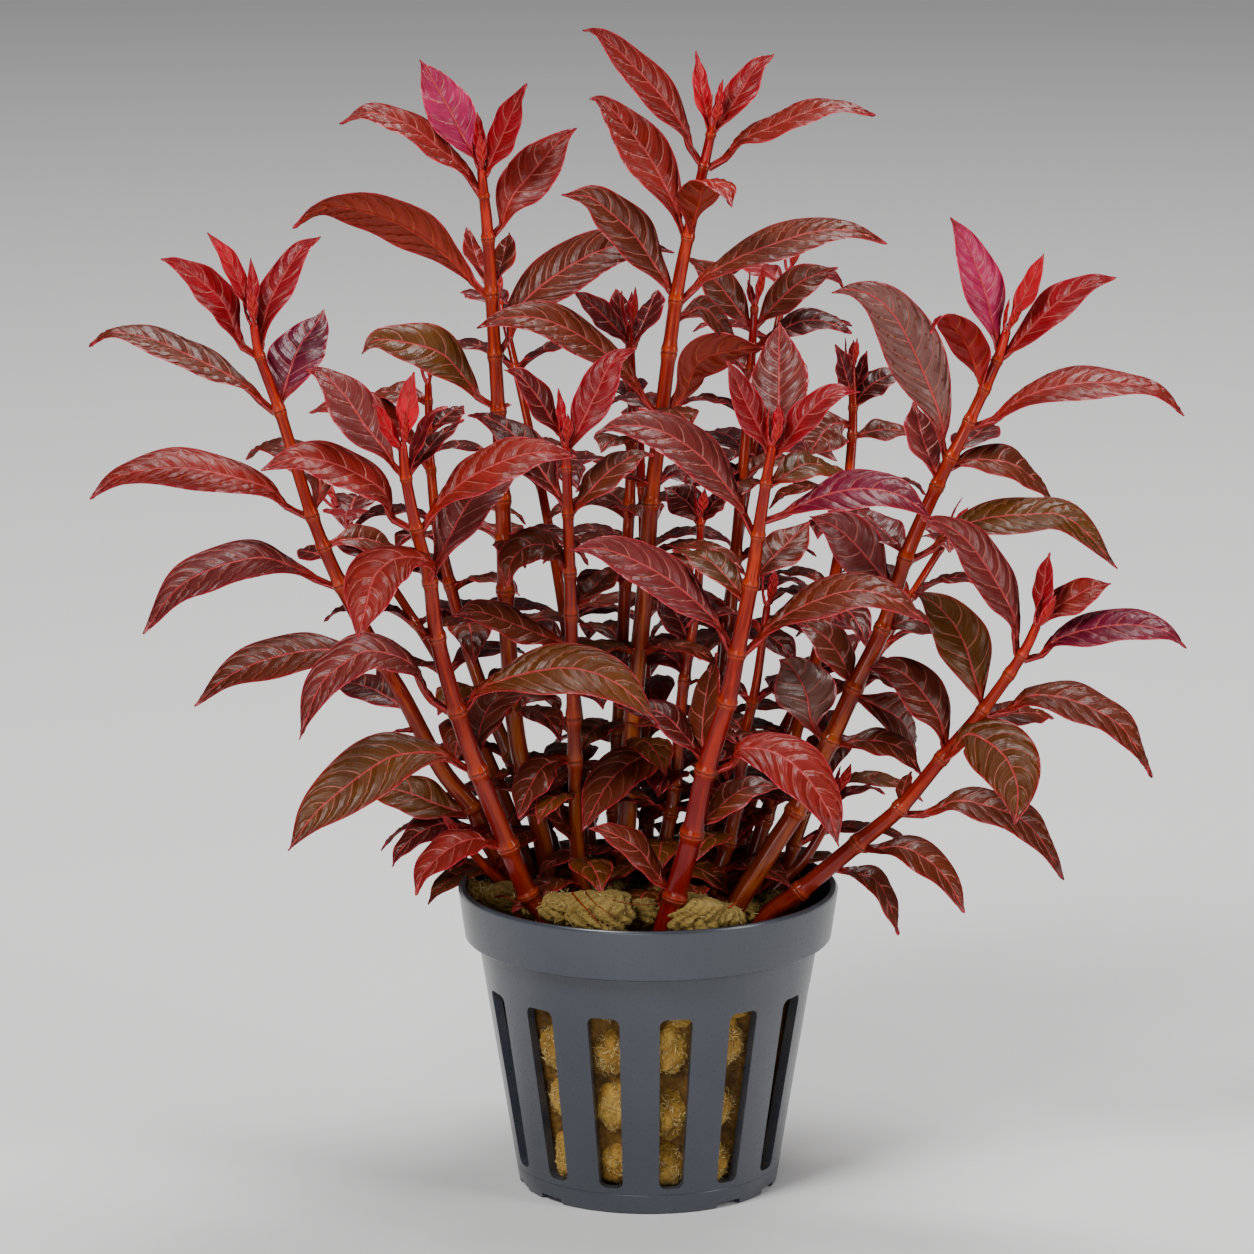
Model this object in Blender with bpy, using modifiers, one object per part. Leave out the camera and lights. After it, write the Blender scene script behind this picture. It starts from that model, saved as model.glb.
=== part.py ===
"""Potted ludwigia palustris: a slotted net pot, a plug of mineral wool and 22 leafy shoots.

The model is in metres with +Z up. Its origin is the centre of the pot's base.
The shoots that face the viewer follow a photograph: their points are pixels of its
1254 x 1254 frame, and view_point() turns a pixel and a depth into a real place.
Depths, widths and radii in the tables below are millimetres. A depth grows away
from the viewer, along +Y, and is 0 at the pot's axis.
"""
import math
from collections import namedtuple

import bmesh
import bpy
from mathutils import Matrix, Vector
from mathutils.bvhtree import BVHTree

MM = 0.001
GAP = 0.3 * MM

# The pot
RIM_TOP = 41.8 * MM
RIM_RADIUS = 26.0 * MM
COLLAR_FOOT = 34.7 * MM
COLLAR_FOOT_RADIUS = 25.1 * MM
BODY_TOP_RADIUS = 23.3 * MM
BASE_RADIUS = 17.75 * MM
POT_WALL = 1.2 * MM
FLOOR_UNDERSIDE = 0.9 * MM
BOSS_RADIUS = 3.2 * MM
DRAINS = 4
DRAIN_RADIUS = 2.1 * MM
DRAIN_CIRCLE = 9.0 * MM
DRAIN_SIDES = 6
SLOTS = 14
SLOT_BOTTOM = 3.7 * MM
SLOT_TOP = 28.6 * MM
SLOT_BOTTOM_WIDTH = 3.3 * MM
SLOT_TOP_WIDTH = 4.5 * MM
SLOT_CORNER = 0.9 * MM
SLOT_REACH = 13.0 * MM
FIRST_SLOT_ANGLE = math.radians(-90 + 9.7)
POT_SEGMENTS = 28
RIM_EDGE = 0.7 * MM
COLLAR_STEP = 1.2 * MM
FLOOR_FILLET = 0.3 * MM

# The mineral wool plug
WOOL_TOP = 35.5 * MM
WOOL_TOP_RADIUS = 20.4 * MM
WOOL_TOP_RINGS = (8.0 * MM, 15.5 * MM)
WOOL_SHOULDER = 2.0 * MM
WOOL_WAVE = 2.7 * MM
WOOL_SWELL = 5.7 * MM
WOOL_LUMP = 0.95 * MM
PLANTED_DEPTH = 4.0 * MM
ROOT_LEAN = 0.4
WOOL_SEGMENTS = 16

# The viewpoint of the photograph
EYE = Vector((-2.9 * MM, -885.3 * MM, 272.9 * MM))
EYE_PITCH = 0.217
PIXELS_PER_TANGENT = 6678.6
FRAME_CENTRE = 627.0

# Leaves
LEAF_KEEL = 0.75 * MM
PETIOLE_HALF_WIDTH = 0.5 * MM
PETIOLE_SHARE = 0.14
BROADEST_AT = 0.42
TIP_SHARPNESS = 1.25
SPARE_ROOM = 0.25 * MM
ROOT_OVERLAP = 0.2
PETIOLE_PER_STEM = 0.5
KEEL_PER_PETIOLE = 1.4
SPINE_SAMPLES = 24
OWN_SECTIONS = (0.0, 0.14, 0.34, 0.56, 0.79)
GROWN_SECTIONS = (0.0, 0.15, 0.44, 0.76)
SMALL_SECTIONS = (0.0, 0.42, 0.74)
SMALL_LEAF = 3.85 * MM
SLIM_SECTIONS = (0.0, 0.45)
SLIM_LEAF = 2.6 * MM
OWN_LEAF_STANDOFF = 0.45 * MM
OUTWARD_CURVE = 1.2
STRAIGHT_LEAF_RISE = 0.08
KEEL_FADE = 0.4

# How a leaf that the photograph shows moves in depth, in millimetres, to find room
PHOTO_SHIFTS = (0, 2, -2, 4, -4, 6, -6, 9, -9, 12, -12, 15, -15, 18, -18, 22, -22)

# How a leaf placed by habit turns, in degrees, and shortens to find room
HABIT_TURNS = (0, 12, -12, 24, -24, 36, -36, 48, -48)
HABIT_LENGTHS = (1.0, 0.8, 0.62)
TOP_CLIMB = math.radians(52)
FOOT_CLIMB = math.radians(22)
LEAF_DROOP = math.radians(88)
ACROSS_THE_STEM = 171
QUARTER_TURN = 90

# Stems
THIN_STEM = 1.3 * MM
STEM_TAPER = 1.4
REAR_TAPER = 0.9
REAR_FOOT_RADIUS = 1.15 * MM
REAR_TOP_RADIUS = 0.5 * MM
REAR_FOOT_HEIGHT = 1.0 * MM
WELD = 0.01 * MM

Stem = namedtuple("Stem", "route base_depth top_depth base_radius top_radius")
Leaf = namedtuple("Leaf", "base via tip out wide seen under own", defaults=(False, False))
Pairs = namedtuple("Pairs", "places longest shortest wide first_turn")
RearShoot = namedtuple("RearShoot", "base top bow pairs")
Shape = namedtuple("Shape", "spine faces half_width petiole keel")
Placed = namedtuple("Placed", "owner whole blade")

# Shoots read from the photograph. A route runs from the wool to the shoot's apex.
STEMS = {
    "left": Stem(
        [(515, 888), (485, 835), (472, 807), (441, 768), (405, 700), (384, 664), (340, 583),
         (311, 513), (280, 412), (260, 357), (253, 320)], 5, -4, 1.35, 0.6),
    "front_left": Stem(
        [(550, 922), (528, 893), (508, 846), (478, 771), (457, 711), (437, 637), (430, 582),
         (416, 528), (406, 478), (402, 440)], -8, -24, 1.5, 0.6),
    "tall_left": Stem(
        [(550, 885), (540, 830), (518, 745), (508, 640), (504, 540), (500, 440), (495, 355),
         (488, 238), (484, 196), (481, 165)], 8, 0, 1.4, 0.6),
    "centre_left": Stem(
        [(587, 905), (578, 861), (575, 772), (571, 612), (568, 514), (566, 440)],
        0, -12, 1.2, 0.6),
    "tall_centre": Stem(
        [(620, 900), (625, 855), (633, 716), (645, 590), (651, 503), (661, 419), (676, 300),
         (688, 237), (704, 166), (714, 120)], 4, 2, 1.4, 0.6),
    "front": Stem(
        [(664, 931), (675, 896), (692, 833), (706, 770), (727, 702), (737, 653), (751, 584),
         (758, 535), (766, 483), (773, 440)], -14, -27, 1.6, 0.6),
    "tall_right": Stem(
        [(727, 923), (770, 851), (796, 810), (830, 741), (854, 688), (883, 628), (906, 557),
         (938, 484), (969, 422), (997, 361), (1008, 326)], -8, -8, 1.45, 0.6),
    "low_right": Stem(
        [(762, 921), (800, 891), (858, 843), (900, 808), (942, 758), (983, 710), (1022, 655),
         (1039, 620)], -7, -17, 1.3, 0.6),
    "back_centre": Stem(
        [(612, 870), (622, 650), (632, 440), (630, 322)], 13, 20, 1.15, 0.5),
    "back_right": Stem(
        [(706, 855), (728, 640), (747, 420), (755, 300)], 13, 22, 1.15, 0.5),
    "far_right": Stem(
        [(752, 862), (805, 700), (838, 560), (852, 440), (852, 362)], 9, 24, 1.15, 0.5),
    "back_left": Stem(
        [(560, 866), (486, 700), (444, 560), (431, 470), (428, 378)], 14, 24, 1.15, 0.5),
    "inner_centre": Stem(
        [(650, 905), (664, 848), (676, 778), (683, 690), (697, 600), (701, 512)],
        2, 6, 1.15, 0.5),
    "inner_right": Stem(
        [(703, 910), (717, 876), (734, 820), (745, 736), (756, 686), (768, 600)],
        -2, 2, 1.15, 0.5),
    "short_right": Stem(
        [(768, 900), (784, 880), (804, 860), (824, 827), (838, 790)], 3, 4, 1.0, 0.45),
    "short_left": Stem(
        [(508, 893), (485, 866), (462, 842)], 1, -2, 0.95, 0.45),
}

LEAVES = {
    "left": [
        Leaf((255, 318), (), (251, 258), 0, 2.2, 12),
        Leaf((252, 318), ((232, 265),), (208, 232), -3, 3.4, 18),
        Leaf((257, 355), ((245, 335), (222, 300), (180, 265)), (161, 258), -4, 6.2, 34, own=True),
        Leaf((263, 355), ((265, 315), (275, 290), (300, 250)), (321, 235), 5, 5.6, 30),
        Leaf((272, 415), ((255, 393), (230, 375), (190, 355), (150, 338), (110, 332)), (87, 346),
             2, 7.5, 30, own=True),
        Leaf((284, 411), ((290, 370), (300, 345), (315, 325)), (324, 307), 14, 7.6, 52),
        Leaf((303, 515), ((290, 498), (270, 489), (240, 478), (180, 467), (120, 475)), (88, 499),
             -4, 8.0, 40, own=True),
        Leaf((321, 513), ((320, 480), (300, 455), (270, 443)), (244, 457), 10, 7.4, 35),
        Leaf((338, 585), ((320, 572), (270, 558), (240, 560), (205, 571), (175, 590)), (141, 634),
             -6, 8.0, 40, own=True),
        Leaf((330, 543), ((345, 539), (375, 540)), (409, 560), 8, 6.0, 25),
        Leaf((327, 560), (), (297, 549), 8, 3.5, 20),
        Leaf((384, 664), ((355, 652), (325, 649), (300, 651), (260, 661), (225, 678)), (193, 706),
             -8, 8.2, 42, own=True),
        Leaf((407, 715), ((390, 698), (370, 687), (345, 682)), (332, 690), 8, 6.5, 32),
        Leaf((415, 733), (), (392, 731), 0, 2.0, 6),
        Leaf((467, 821), ((440, 805), (410, 793), (380, 788)), (355, 796), 4, 7.5, 40),
        Leaf((474, 833), ((445, 823), (420, 832), (400, 850)), (390, 866), -4, 5.5, 24),
    ],
    "front_left": [
        Leaf((403, 445), (), (412, 372), -2, 4.0, 22),
        Leaf((400, 455), (), (374, 403), -6, 3.4, 14),
        Leaf((401, 477), ((385, 450), (365, 425), (345, 395), (320, 371)), (304, 369),
             6, 7.0, 48, own=True),
        Leaf((411, 477), ((418, 440), (430, 415)), (448, 405), 3, 4.0, 12),
        Leaf((413, 478), ((435, 440),), (464, 418), 8, 4.5, 18),
        Leaf((410, 528), ((400, 515), (385, 492), (360, 475), (330, 462), (295, 457)), (260, 470),
             -4, 7.5, 38, own=True),
        Leaf((428, 582), ((427, 560), (400, 557), (375, 575), (365, 610)), (357, 640),
             -14, 7.8, 50, own=True),
        Leaf((422, 528), ((435, 507), (465, 480), (500, 462), (535, 452)), (577, 455),
             -2, 8.0, 40, own=True),
        Leaf((437, 582), ((445, 545), (470, 500), (500, 475)), (535, 457), 12, 7.8, 45),
        Leaf((432, 637), (), (418, 628), -2, 2.5, 8),
        Leaf((450, 711), ((435, 685), (410, 662), (370, 650), (345, 662), (320, 685)), (298, 740),
             -10, 8.0, 38, own=True),
        Leaf((464, 713), ((472, 697), (490, 684), (530, 672), (575, 668), (620, 685)), (661, 724),
             -6, 8.4, 50, own=True),
        Leaf((481, 768), ((478, 735), (488, 708), (505, 695)), (535, 688), 12, 7.5, 35),
        Leaf((471, 775), ((455, 762), (440, 753), (410, 753), (380, 762), (320, 808)), (287, 851),
             -8, 8.6, 58, own=True),
        Leaf((506, 850), ((490, 843), (480, 838), (460, 842), (440, 855), (422, 875)), (414, 895),
             -8, 7.2, 34),
    ],
    "tall_left": [
        Leaf((477, 165), ((465, 140), (450, 110), (430, 75)), (420, 58), 4, 6.4, 46),
        Leaf((488, 180), ((500, 140), (515, 105)), (526, 83), -4, 5.4, 30),
        Leaf((481, 165), (), (478, 112), 0, 2.4, 12),
        Leaf((478, 198), ((465, 170), (440, 148), (410, 125), (370, 112)), (338, 122), -4, 6.5, 26),
        Leaf((495, 238), ((510, 200), (530, 175), (560, 140)), (577, 127), 4, 6.8, 48, own=True),
        Leaf((486, 292), (), (468, 226), 8, 5.0, 20),
        Leaf((496, 292), (), (508, 231), 8, 5.0, 22),
        Leaf((482, 297), ((468, 275), (440, 248), (400, 222), (350, 207), (320, 208)), (290, 227),
             -6, 7.6, 44, under=True, own=True),
        Leaf((505, 355), ((512, 325), (520, 305), (555, 275), (600, 250), (640, 243)), (676, 252),
             4, 8.0, 50, own=True),
        Leaf((488, 408), ((465, 378), (440, 352), (400, 341), (375, 340)), (361, 354),
             -4, 7.6, 46, own=True),
        Leaf((500, 409), (), (512, 404), 0, 1.5, 5),
    ],
    "centre_left": [
        Leaf((563, 440), ((555, 425), (540, 400), (520, 375)), (505, 368), -3, 5.2, 28),
        Leaf((570, 455), ((578, 430), (595, 395), (612, 362)), (637, 346), 3, 5.4, 38),
        Leaf((564, 440), (), (559, 388), 0, 2.2, 10),
        Leaf((561, 512), ((545, 475), (520, 440), (490, 418)), (467, 414), 16, 6.5, 38),
        Leaf((574, 515), ((590, 490), (610, 470), (635, 455)), (655, 452), 4, 6.5, 30),
        Leaf((566, 577), ((555, 548), (530, 545), (512, 560)), (506, 587), -6, 6.5, 34),
        Leaf((577, 610), ((590, 590),), (620, 560), 8, 6.0, 26),
        Leaf((551, 646), ((510, 622), (480, 612)), (453, 615), -8, 7.0, 30),
        Leaf((566, 757), ((545, 765), (528, 790)), (517, 818), -6, 6.5, 36),
        Leaf((573, 853), ((566, 825), (552, 808), (535, 808)), (520, 817), -4, 4.5, 20),
    ],
    "tall_centre": [
        Leaf((697, 163), ((685, 130), (665, 100), (640, 72), (600, 33)), (582, 29),
             -3, 6.6, 36, own=True),
        Leaf((707, 135), (), (697, 50), 2, 3.4, 17),
        Leaf((713, 137), ((735, 100), (755, 68)), (774, 52), 4, 5.0, 28),
        Leaf((716, 120), (), (722, 79), 0, 1.8, 8),
        Leaf((710, 167), ((720, 152), (740, 140), (770, 127), (800, 114), (830, 106)), (877, 112),
             -2, 7.0, 24, own=True),
        Leaf((682, 236), ((678, 215), (665, 185), (645, 150), (605, 102)), (588, 97),
             5, 7.4, 46, own=True),
        Leaf((693, 236), ((696, 205), (704, 182), (722, 186)), (733, 206), -12, 7.0, 40, under=True),
        Leaf((668, 300), ((655, 265), (635, 235), (610, 212), (590, 197)), (561, 194), -4, 7.6, 44),
        Leaf((685, 303), ((700, 280), (720, 267), (750, 252), (810, 232), (850, 230)), (889, 242),
             0, 7.6, 34, own=True),
        Leaf((650, 413), ((640, 390), (620, 365), (580, 335), (540, 318), (500, 318)), (476, 327),
             -8, 7.6, 34, own=True),
        Leaf((669, 421), ((680, 395), (697, 360), (730, 350)), (762, 346), 8, 7.0, 36, under=True),
        Leaf((676, 325), ((690, 312), (708, 310)), (742, 352), 10, 4.5, 20),
    ],
    "front": [
        Leaf((779, 462), ((778, 410),), (779, 320), 10, 7.9, 57, own=True),
        Leaf((770, 460), ((760, 430), (745, 400)), (728, 360), -4, 5.0, 30),
        Leaf((777, 462), ((788, 440), (805, 415), (835, 392)), (861, 390), 0, 5.2, 30),
        Leaf((775, 440), (), (779, 404), -2, 2.0, 12),
        Leaf((751, 534), ((745, 515), (730, 490), (700, 455), (660, 430), (620, 425)), (594, 433),
             -2, 7.9, 44, own=True),
        Leaf((774, 521), ((800, 505), (830, 493), (865, 488), (900, 495)), (934, 518),
             -6, 7.2, 38, own=True),
        Leaf((770, 490), ((785, 475), (810, 463)), (850, 473), 6, 6.0, 28),
        Leaf((759, 584), ((765, 565), (785, 545)), (810, 520), 8, 6.5, 40),
        Leaf((733, 652), ((722, 630), (700, 605), (670, 580), (635, 560), (600, 548)), (568, 549),
             -4, 8.0, 44, own=True),
        Leaf((738, 604), ((730, 580), (705, 557)), (672, 548), 8, 6.5, 30),
        Leaf((747, 656), ((765, 630), (800, 607), (850, 590), (890, 597)), (930, 623),
             -4, 8.0, 36, own=True),
        Leaf((700, 764), ((702, 735), (705, 700)), (714, 651), 6, 7.5, 32),
        Leaf((699, 764), ((685, 735), (660, 712)), (615, 703), 4, 7.0, 26),
        Leaf((710, 770), ((722, 757), (740, 748), (775, 752), (805, 775), (828, 810)), (841, 846),
             -10, 8.6, 52, own=True),
        Leaf((703, 837), ((715, 810), (740, 790), (762, 785)), (782, 785), 2, 6.5, 28),
        Leaf((665, 895), ((655, 872), (640, 850), (610, 832)), (589, 827), -2, 6.2, 26),
    ],
    "tall_right": [
        Leaf((993, 354), ((993, 325), (985, 290), (968, 245)), (951, 216), 3, 6.6, 40),
        Leaf((1008, 326), ((1030, 285),), (1043, 253), 0, 4.0, 20),
        Leaf((1002, 362), ((1012, 348), (1035, 323), (1060, 300), (1090, 283)), (1116, 275),
             -2, 6.4, 32),
        Leaf((981, 388), ((972, 350), (955, 325), (940, 317)), (928, 333), -6, 6.4, 36, under=True),
        Leaf((945, 461), ((942, 427), (931, 390), (903, 329), (881, 301), (853, 289)), (830, 292),
             4, 8.0, 58, own=True),
        Leaf((973, 425), ((985, 417), (1027, 395), (1083, 382), (1139, 385), (1167, 396)),
             (1187, 415), -2, 8.0, 34, own=True),
        Leaf((952, 474), ((962, 462), (979, 459), (1012, 463), (1035, 480)), (1055, 504),
             8, 7.0, 30),
        Leaf((931, 478), (), (915, 400), 6, 6.4, 30),
        Leaf((960, 455), (), (990, 420), 12, 6.5, 30),
        Leaf((916, 561), ((940, 540), (956, 528), (985, 518), (1027, 514), (1069, 518)),
             (1120, 568), -4, 8.0, 36, own=True),
        Leaf((902, 552), (), (858, 508), 8, 7.0, 34),
        Leaf((882, 590), ((865, 555), (840, 530)), (811, 516), 0, 7.6, 50),
        Leaf((885, 633), ((905, 620), (925, 622)), (942, 643), 4, 6.5, 26),
        Leaf((827, 743), ((811, 720), (805, 690), (790, 665)), (778, 658), 10, 8.3, 60, own=True),
        Leaf((844, 750), ((870, 740), (900, 748)), (923, 775), -4, 6.2, 26),
        Leaf((846, 686), ((840, 655), (820, 632)), (796, 622), 2, 7.0, 34),
        Leaf((868, 699), ((895, 715), (912, 735)), (917, 758), 8, 7.0, 36),
        Leaf((862, 697), ((872, 670), (890, 676)), (935, 690), 6, 6.0, 20),
    ],
    "low_right": [
        Leaf((1038, 626), (), (1048, 552), 0, 4.0, 20),
        Leaf((1041, 627), ((1060, 605), (1090, 588)), (1112, 582), 3, 5.5, 32),
        Leaf((1045, 615), (), (1066, 584), 2, 1.2, 4),
        Leaf((1017, 655), ((1016, 637), (1010, 606), (973, 547), (942, 522)), (920, 518),
             -3, 7.2, 42, own=True),
        Leaf((1025, 660), ((1035, 650), (1055, 640), (1083, 630), (1125, 624), (1167, 631)),
             (1189, 647), -4, 7.2, 34, own=True),
        Leaf((987, 715), ((1007, 702), (1029, 695), (1063, 697), (1097, 710), (1125, 730)),
             (1154, 778), -6, 8.0, 38, own=True),
        Leaf((982, 737), ((1000, 715), (1030, 712)), (1055, 717), 10, 6.0, 24),
        Leaf((975, 704), ((973, 671), (965, 645), (951, 620), (928, 598)), (913, 591), 6, 7.8, 52),
        Leaf((941, 752), ((940, 719), (928, 699), (911, 679), (892, 668)), (867, 667), 4, 7.4, 42),
        Leaf((946, 762), ((955, 745), (969, 733), (998, 749), (1012, 769), (1018, 794)),
             (1014, 824), -14, 8.5, 62, own=True),
        Leaf((903, 814), ((928, 803), (956, 800), (984, 804), (1012, 814), (1035, 831)),
             (1066, 880), -4, 7.8, 34, own=True),
        Leaf((861, 856), ((878, 848), (900, 846), (923, 856), (945, 876)), (966, 913), -4, 7.0, 30),
        Leaf((838, 874), ((858, 873), (880, 884)), (901, 935), -2, 5.6, 22),
        Leaf((898, 806), (), (910, 770), 2, 3.5, 14),
    ],
    "back_centre": [
        Leaf((630, 345), (), (573, 290), -2, 4.5, 24),
        Leaf((630, 350), (), (618, 287), 6, 6.0, 26),
        Leaf((634, 350), (), (657, 288), 6, 6.0, 26),
    ],
    "back_right": [
        Leaf((752, 330), ((720, 285),), (688, 255), 0, 6.5, 36),
        Leaf((756, 330), ((795, 285),), (838, 266), 0, 6.5, 34),
        Leaf((754, 310), (), (748, 280), 0, 1.5, 8),
        Leaf((755, 350), ((790, 325), (820, 320)), (853, 332), -3, 7.0, 24),
    ],
    "far_right": [
        Leaf((853, 400), (), (837, 344), -2, 4.0, 20),
        Leaf((855, 395), (), (866, 350), 2, 3.0, 14),
        Leaf((854, 410), ((870, 385),), (905, 368), 2, 5.5, 28),
        Leaf((851, 425), ((830, 425),), (808, 455), -4, 8.0, 50),
        Leaf((853, 436), (), (915, 432), 2, 5.0, 22),
    ],
    "back_left": [
        Leaf((428, 400), (), (372, 392), 2, 6.0, 22),
        Leaf((429, 430), (), (464, 405), 4, 6.0, 24),
        Leaf((431, 470), ((400, 425), (360, 402)), (308, 411), -2, 7.0, 24),
    ],
    "inner_centre": [
        Leaf((701, 525), ((690, 505),), (665, 485), 2, 6.5, 36),
        Leaf((701, 525), ((712, 505),), (730, 490), 2, 4.5, 20),
        Leaf((690, 650), ((680, 620),), (660, 590), 4, 6.5, 34),
        Leaf((683, 680), ((675, 660), (655, 652)), (618, 665), -2, 5.5, 24),
        Leaf((676, 785), ((658, 753), (615, 775)), (581, 831), -6, 7.6, 42),
    ],
    "short_left": [
        Leaf((470, 850), (), (448, 870), -2, 3.0, 14),
    ],
}

# Leaf pairs that follow the plant's habit where the photograph shows no single leaf.
# Each pair is turned by a quarter turn against the pair below it.
STEM_PAIRS = {
    "tall_left": Pairs((0.33, 0.50), 14, 17, 5.5, 60),
    "centre_left": Pairs((0.45,), 12, 12, 4.8, 70),
    "tall_centre": Pairs((0.26, 0.44), 14, 17, 5.5, 75),
    "back_centre": Pairs((0.33, 0.5, 0.66, 0.82), 18, 12, 6.5, 20),
    "back_right": Pairs((0.32, 0.50, 0.68, 0.84), 18, 12, 6.5, 50),
    "far_right": Pairs((0.52, 0.70), 17, 14, 6.0, 120),
    "back_left": Pairs((0.50, 0.68), 17, 14, 6.0, 105),
    "inner_centre": Pairs((0.28,), 10, 10, 4.5, 40),
    "inner_right": Pairs((0.66, 0.94), 11, 13, 5.0, 110),
    "short_right": Pairs((0.90,), 10, 10, 4.0, 30),
    "short_left": Pairs((0.92,), 8, 8, 3.6, 60),
}

# Shoots behind the others, hidden in the photograph: base and top are places in
# millimetres, bow is how far the middle leans out from the straight line.
REAR_SHOOTS = {
    "rear_left": RearShoot(
        (-15.2, 11.8), (-44, 34, 88), 5, Pairs((0.34, 0.55, 0.76, 0.96), 22, 11, 6.6, 0)),
    "rear_mid_left": RearShoot(
        (-7.5, 16.5), (-21, 45, 116), 5, Pairs((0.32, 0.53, 0.75, 0.97), 24, 11, 7, 45)),
    "rear_mid": RearShoot(
        (0, 18.5), (-1, 56, 96), 6, Pairs((0.32, 0.55, 0.78, 0.97), 24, 11, 7, 0)),
    "rear_mid_right": RearShoot(
        (7.5, 16.5), (20, 44, 120), 5, Pairs((0.32, 0.53, 0.75, 0.97), 24, 11, 7, 60)),
    "rear_right": RearShoot(
        (17.5, 6.5), (43, 36, 84), 5, Pairs((0.34, 0.55, 0.76, 0.96), 22, 11, 6.6, 5)),
    "rear_low": RearShoot(
        (11.2, 11.6), (28, 47, 68), 8, Pairs((0.43, 0.7, 0.93), 20, 11, 6.2, 110)),
}

COLOURS = {
    "pot": ((0.12, 0.15, 0.18, 1.0), 0.42),
    "wool": ((0.35, 0.28, 0.08, 1.0), 0.95),
    "stem": ((0.45, 0.06, 0.02, 1.0), 0.3),
    "leaf": ((0.28, 0.05, 0.04, 1.0), 0.35),
}


def clear_scene():
    for thing in list(bpy.data.objects):
        bpy.data.objects.remove(thing, do_unlink=True)


def new_collection(name):
    collection = bpy.data.collections.new(name)
    bpy.context.scene.collection.children.link(collection)
    return collection


def new_material(name):
    colour, roughness = COLOURS[name]
    material = bpy.data.materials.new(name)
    material.use_nodes = True
    shader = material.node_tree.nodes["Principled BSDF"]
    shader.inputs["Base Color"].default_value = colour
    shader.inputs["Roughness"].default_value = roughness
    shader.inputs["Metallic"].default_value = 0.0
    return material


def new_object(name, mesh, collection, material=None):
    thing = bpy.data.objects.new(name, mesh)
    collection.objects.link(thing)
    if material:
        mesh.materials.clear()
        mesh.materials.append(material)
    return thing


def as_cutter(thing):
    thing.hide_render = True
    thing.display_type = "WIRE"


def evaluated_mesh(thing):
    """The object's mesh with its modifiers applied."""
    bpy.context.view_layer.update()
    graph = bpy.context.evaluated_depsgraph_get()
    return bpy.data.meshes.new_from_object(thing.evaluated_get(graph))


def weld(mesh):
    """Join a tube's loose caps to its wall."""
    work = bmesh.new()
    work.from_mesh(mesh)
    bmesh.ops.remove_doubles(work, verts=work.verts, dist=WELD)
    work.to_mesh(mesh)
    work.free()


def view_point(pixel, depth):
    """The place at this depth, in metres, that the photograph shows at this pixel."""
    across = (pixel[0] - FRAME_CENTRE) / PIXELS_PER_TANGENT
    rise = (FRAME_CENTRE - pixel[1]) / PIXELS_PER_TANGENT
    ahead = Vector((0, math.cos(EYE_PITCH), -math.sin(EYE_PITCH)))
    upward = Vector((0, math.sin(EYE_PITCH), math.cos(EYE_PITCH)))
    ray = ahead + Vector((1, 0, 0)) * across + upward * rise
    return EYE + ray * ((depth - EYE.y) / ray.y)


def curve_through(points, samples):
    """Points spaced evenly by length along a smooth curve through the given ones."""
    ends = [points[0] * 2 - points[1]] + list(points) + [points[-1] * 2 - points[-2]]
    fine = []
    for before, start, end, after in zip(ends, ends[1:], ends[2:], ends[3:]):
        for step in range(12):
            t = step / 12
            fine.append(0.5 * (
                start * 2 + (end - before) * t
                + (before * 2 - start * 5 + end * 4 - after) * t ** 2
                + (start * 3 - before - end * 3 + after) * t ** 3))
    fine.append(points[-1].copy())
    lengths = [0.0]
    for here, there in zip(fine, fine[1:]):
        lengths.append(lengths[-1] + (there - here).length)
    even = []
    index = 0
    for sample in range(samples + 1):
        wanted = lengths[-1] * sample / samples
        while index < len(fine) - 2 and lengths[index + 1] < wanted:
            index += 1
        span = lengths[index + 1] - lengths[index]
        share = (wanted - lengths[index]) / span if span else 0.0
        even.append(fine[index].lerp(fine[index + 1], min(1.0, share)))
    return even


def photo_stem(stem):
    """A stem's centre line and radii, from its foot in the wool to its apex."""
    first = stem.route[0][1]
    last = stem.route[-1][1]
    points = []
    for pixel in stem.route:
        risen = (first - pixel[1]) / (first - last)
        depth = stem.base_depth + (stem.top_depth - stem.base_depth) * risen
        points.append(view_point(pixel, depth * MM))
    return finish_stem(points, stem.base_radius * MM, stem.top_radius * MM, STEM_TAPER)


def rear_stem(shoot):
    """The centre line and radii of a stem that leans outward and bows up on its way."""
    foot = Vector((shoot.base[0] * MM, shoot.base[1] * MM, WOOL_TOP + REAR_FOOT_HEIGHT))
    top = Vector(shoot.top) * MM
    outward = Vector((top.x - foot.x, top.y - foot.y, 0)).normalized()
    points = []
    for step in range(5):
        t = step / 4
        points.append(foot.lerp(top, t) - outward * shoot.bow * MM * math.sin(math.pi * t))
    return finish_stem(points, REAR_FOOT_RADIUS, REAR_TOP_RADIUS, REAR_TAPER)


def finish_stem(points, base_radius, top_radius, taper):
    """Carry the foot down into the wool and give every point its radius."""
    lean = (points[1] - points[0]).normalized() * ROOT_LEAN
    sink = points[0].z - (WOOL_TOP - PLANTED_DEPTH)
    points = [points[0] - Vector((lean.x, lean.y, 1)) * sink] + points
    radii = []
    for index in range(len(points)):
        share = index / (len(points) - 1)
        radii.append(base_radius + (top_radius - base_radius) * share ** taper)
    return points, radii


def stem_place(line, share):
    """The centre, direction and radius of a stem at a share of its length."""
    points, radii = line
    spot = share * (len(points) - 1)
    index = min(int(spot), len(points) - 2)
    part = spot - index
    centre = points[index].lerp(points[index + 1], part)
    heading = (points[index + 1] - points[index]).normalized()
    radius = radii[index] + (radii[index + 1] - radii[index]) * part
    return centre, heading, radius


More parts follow.
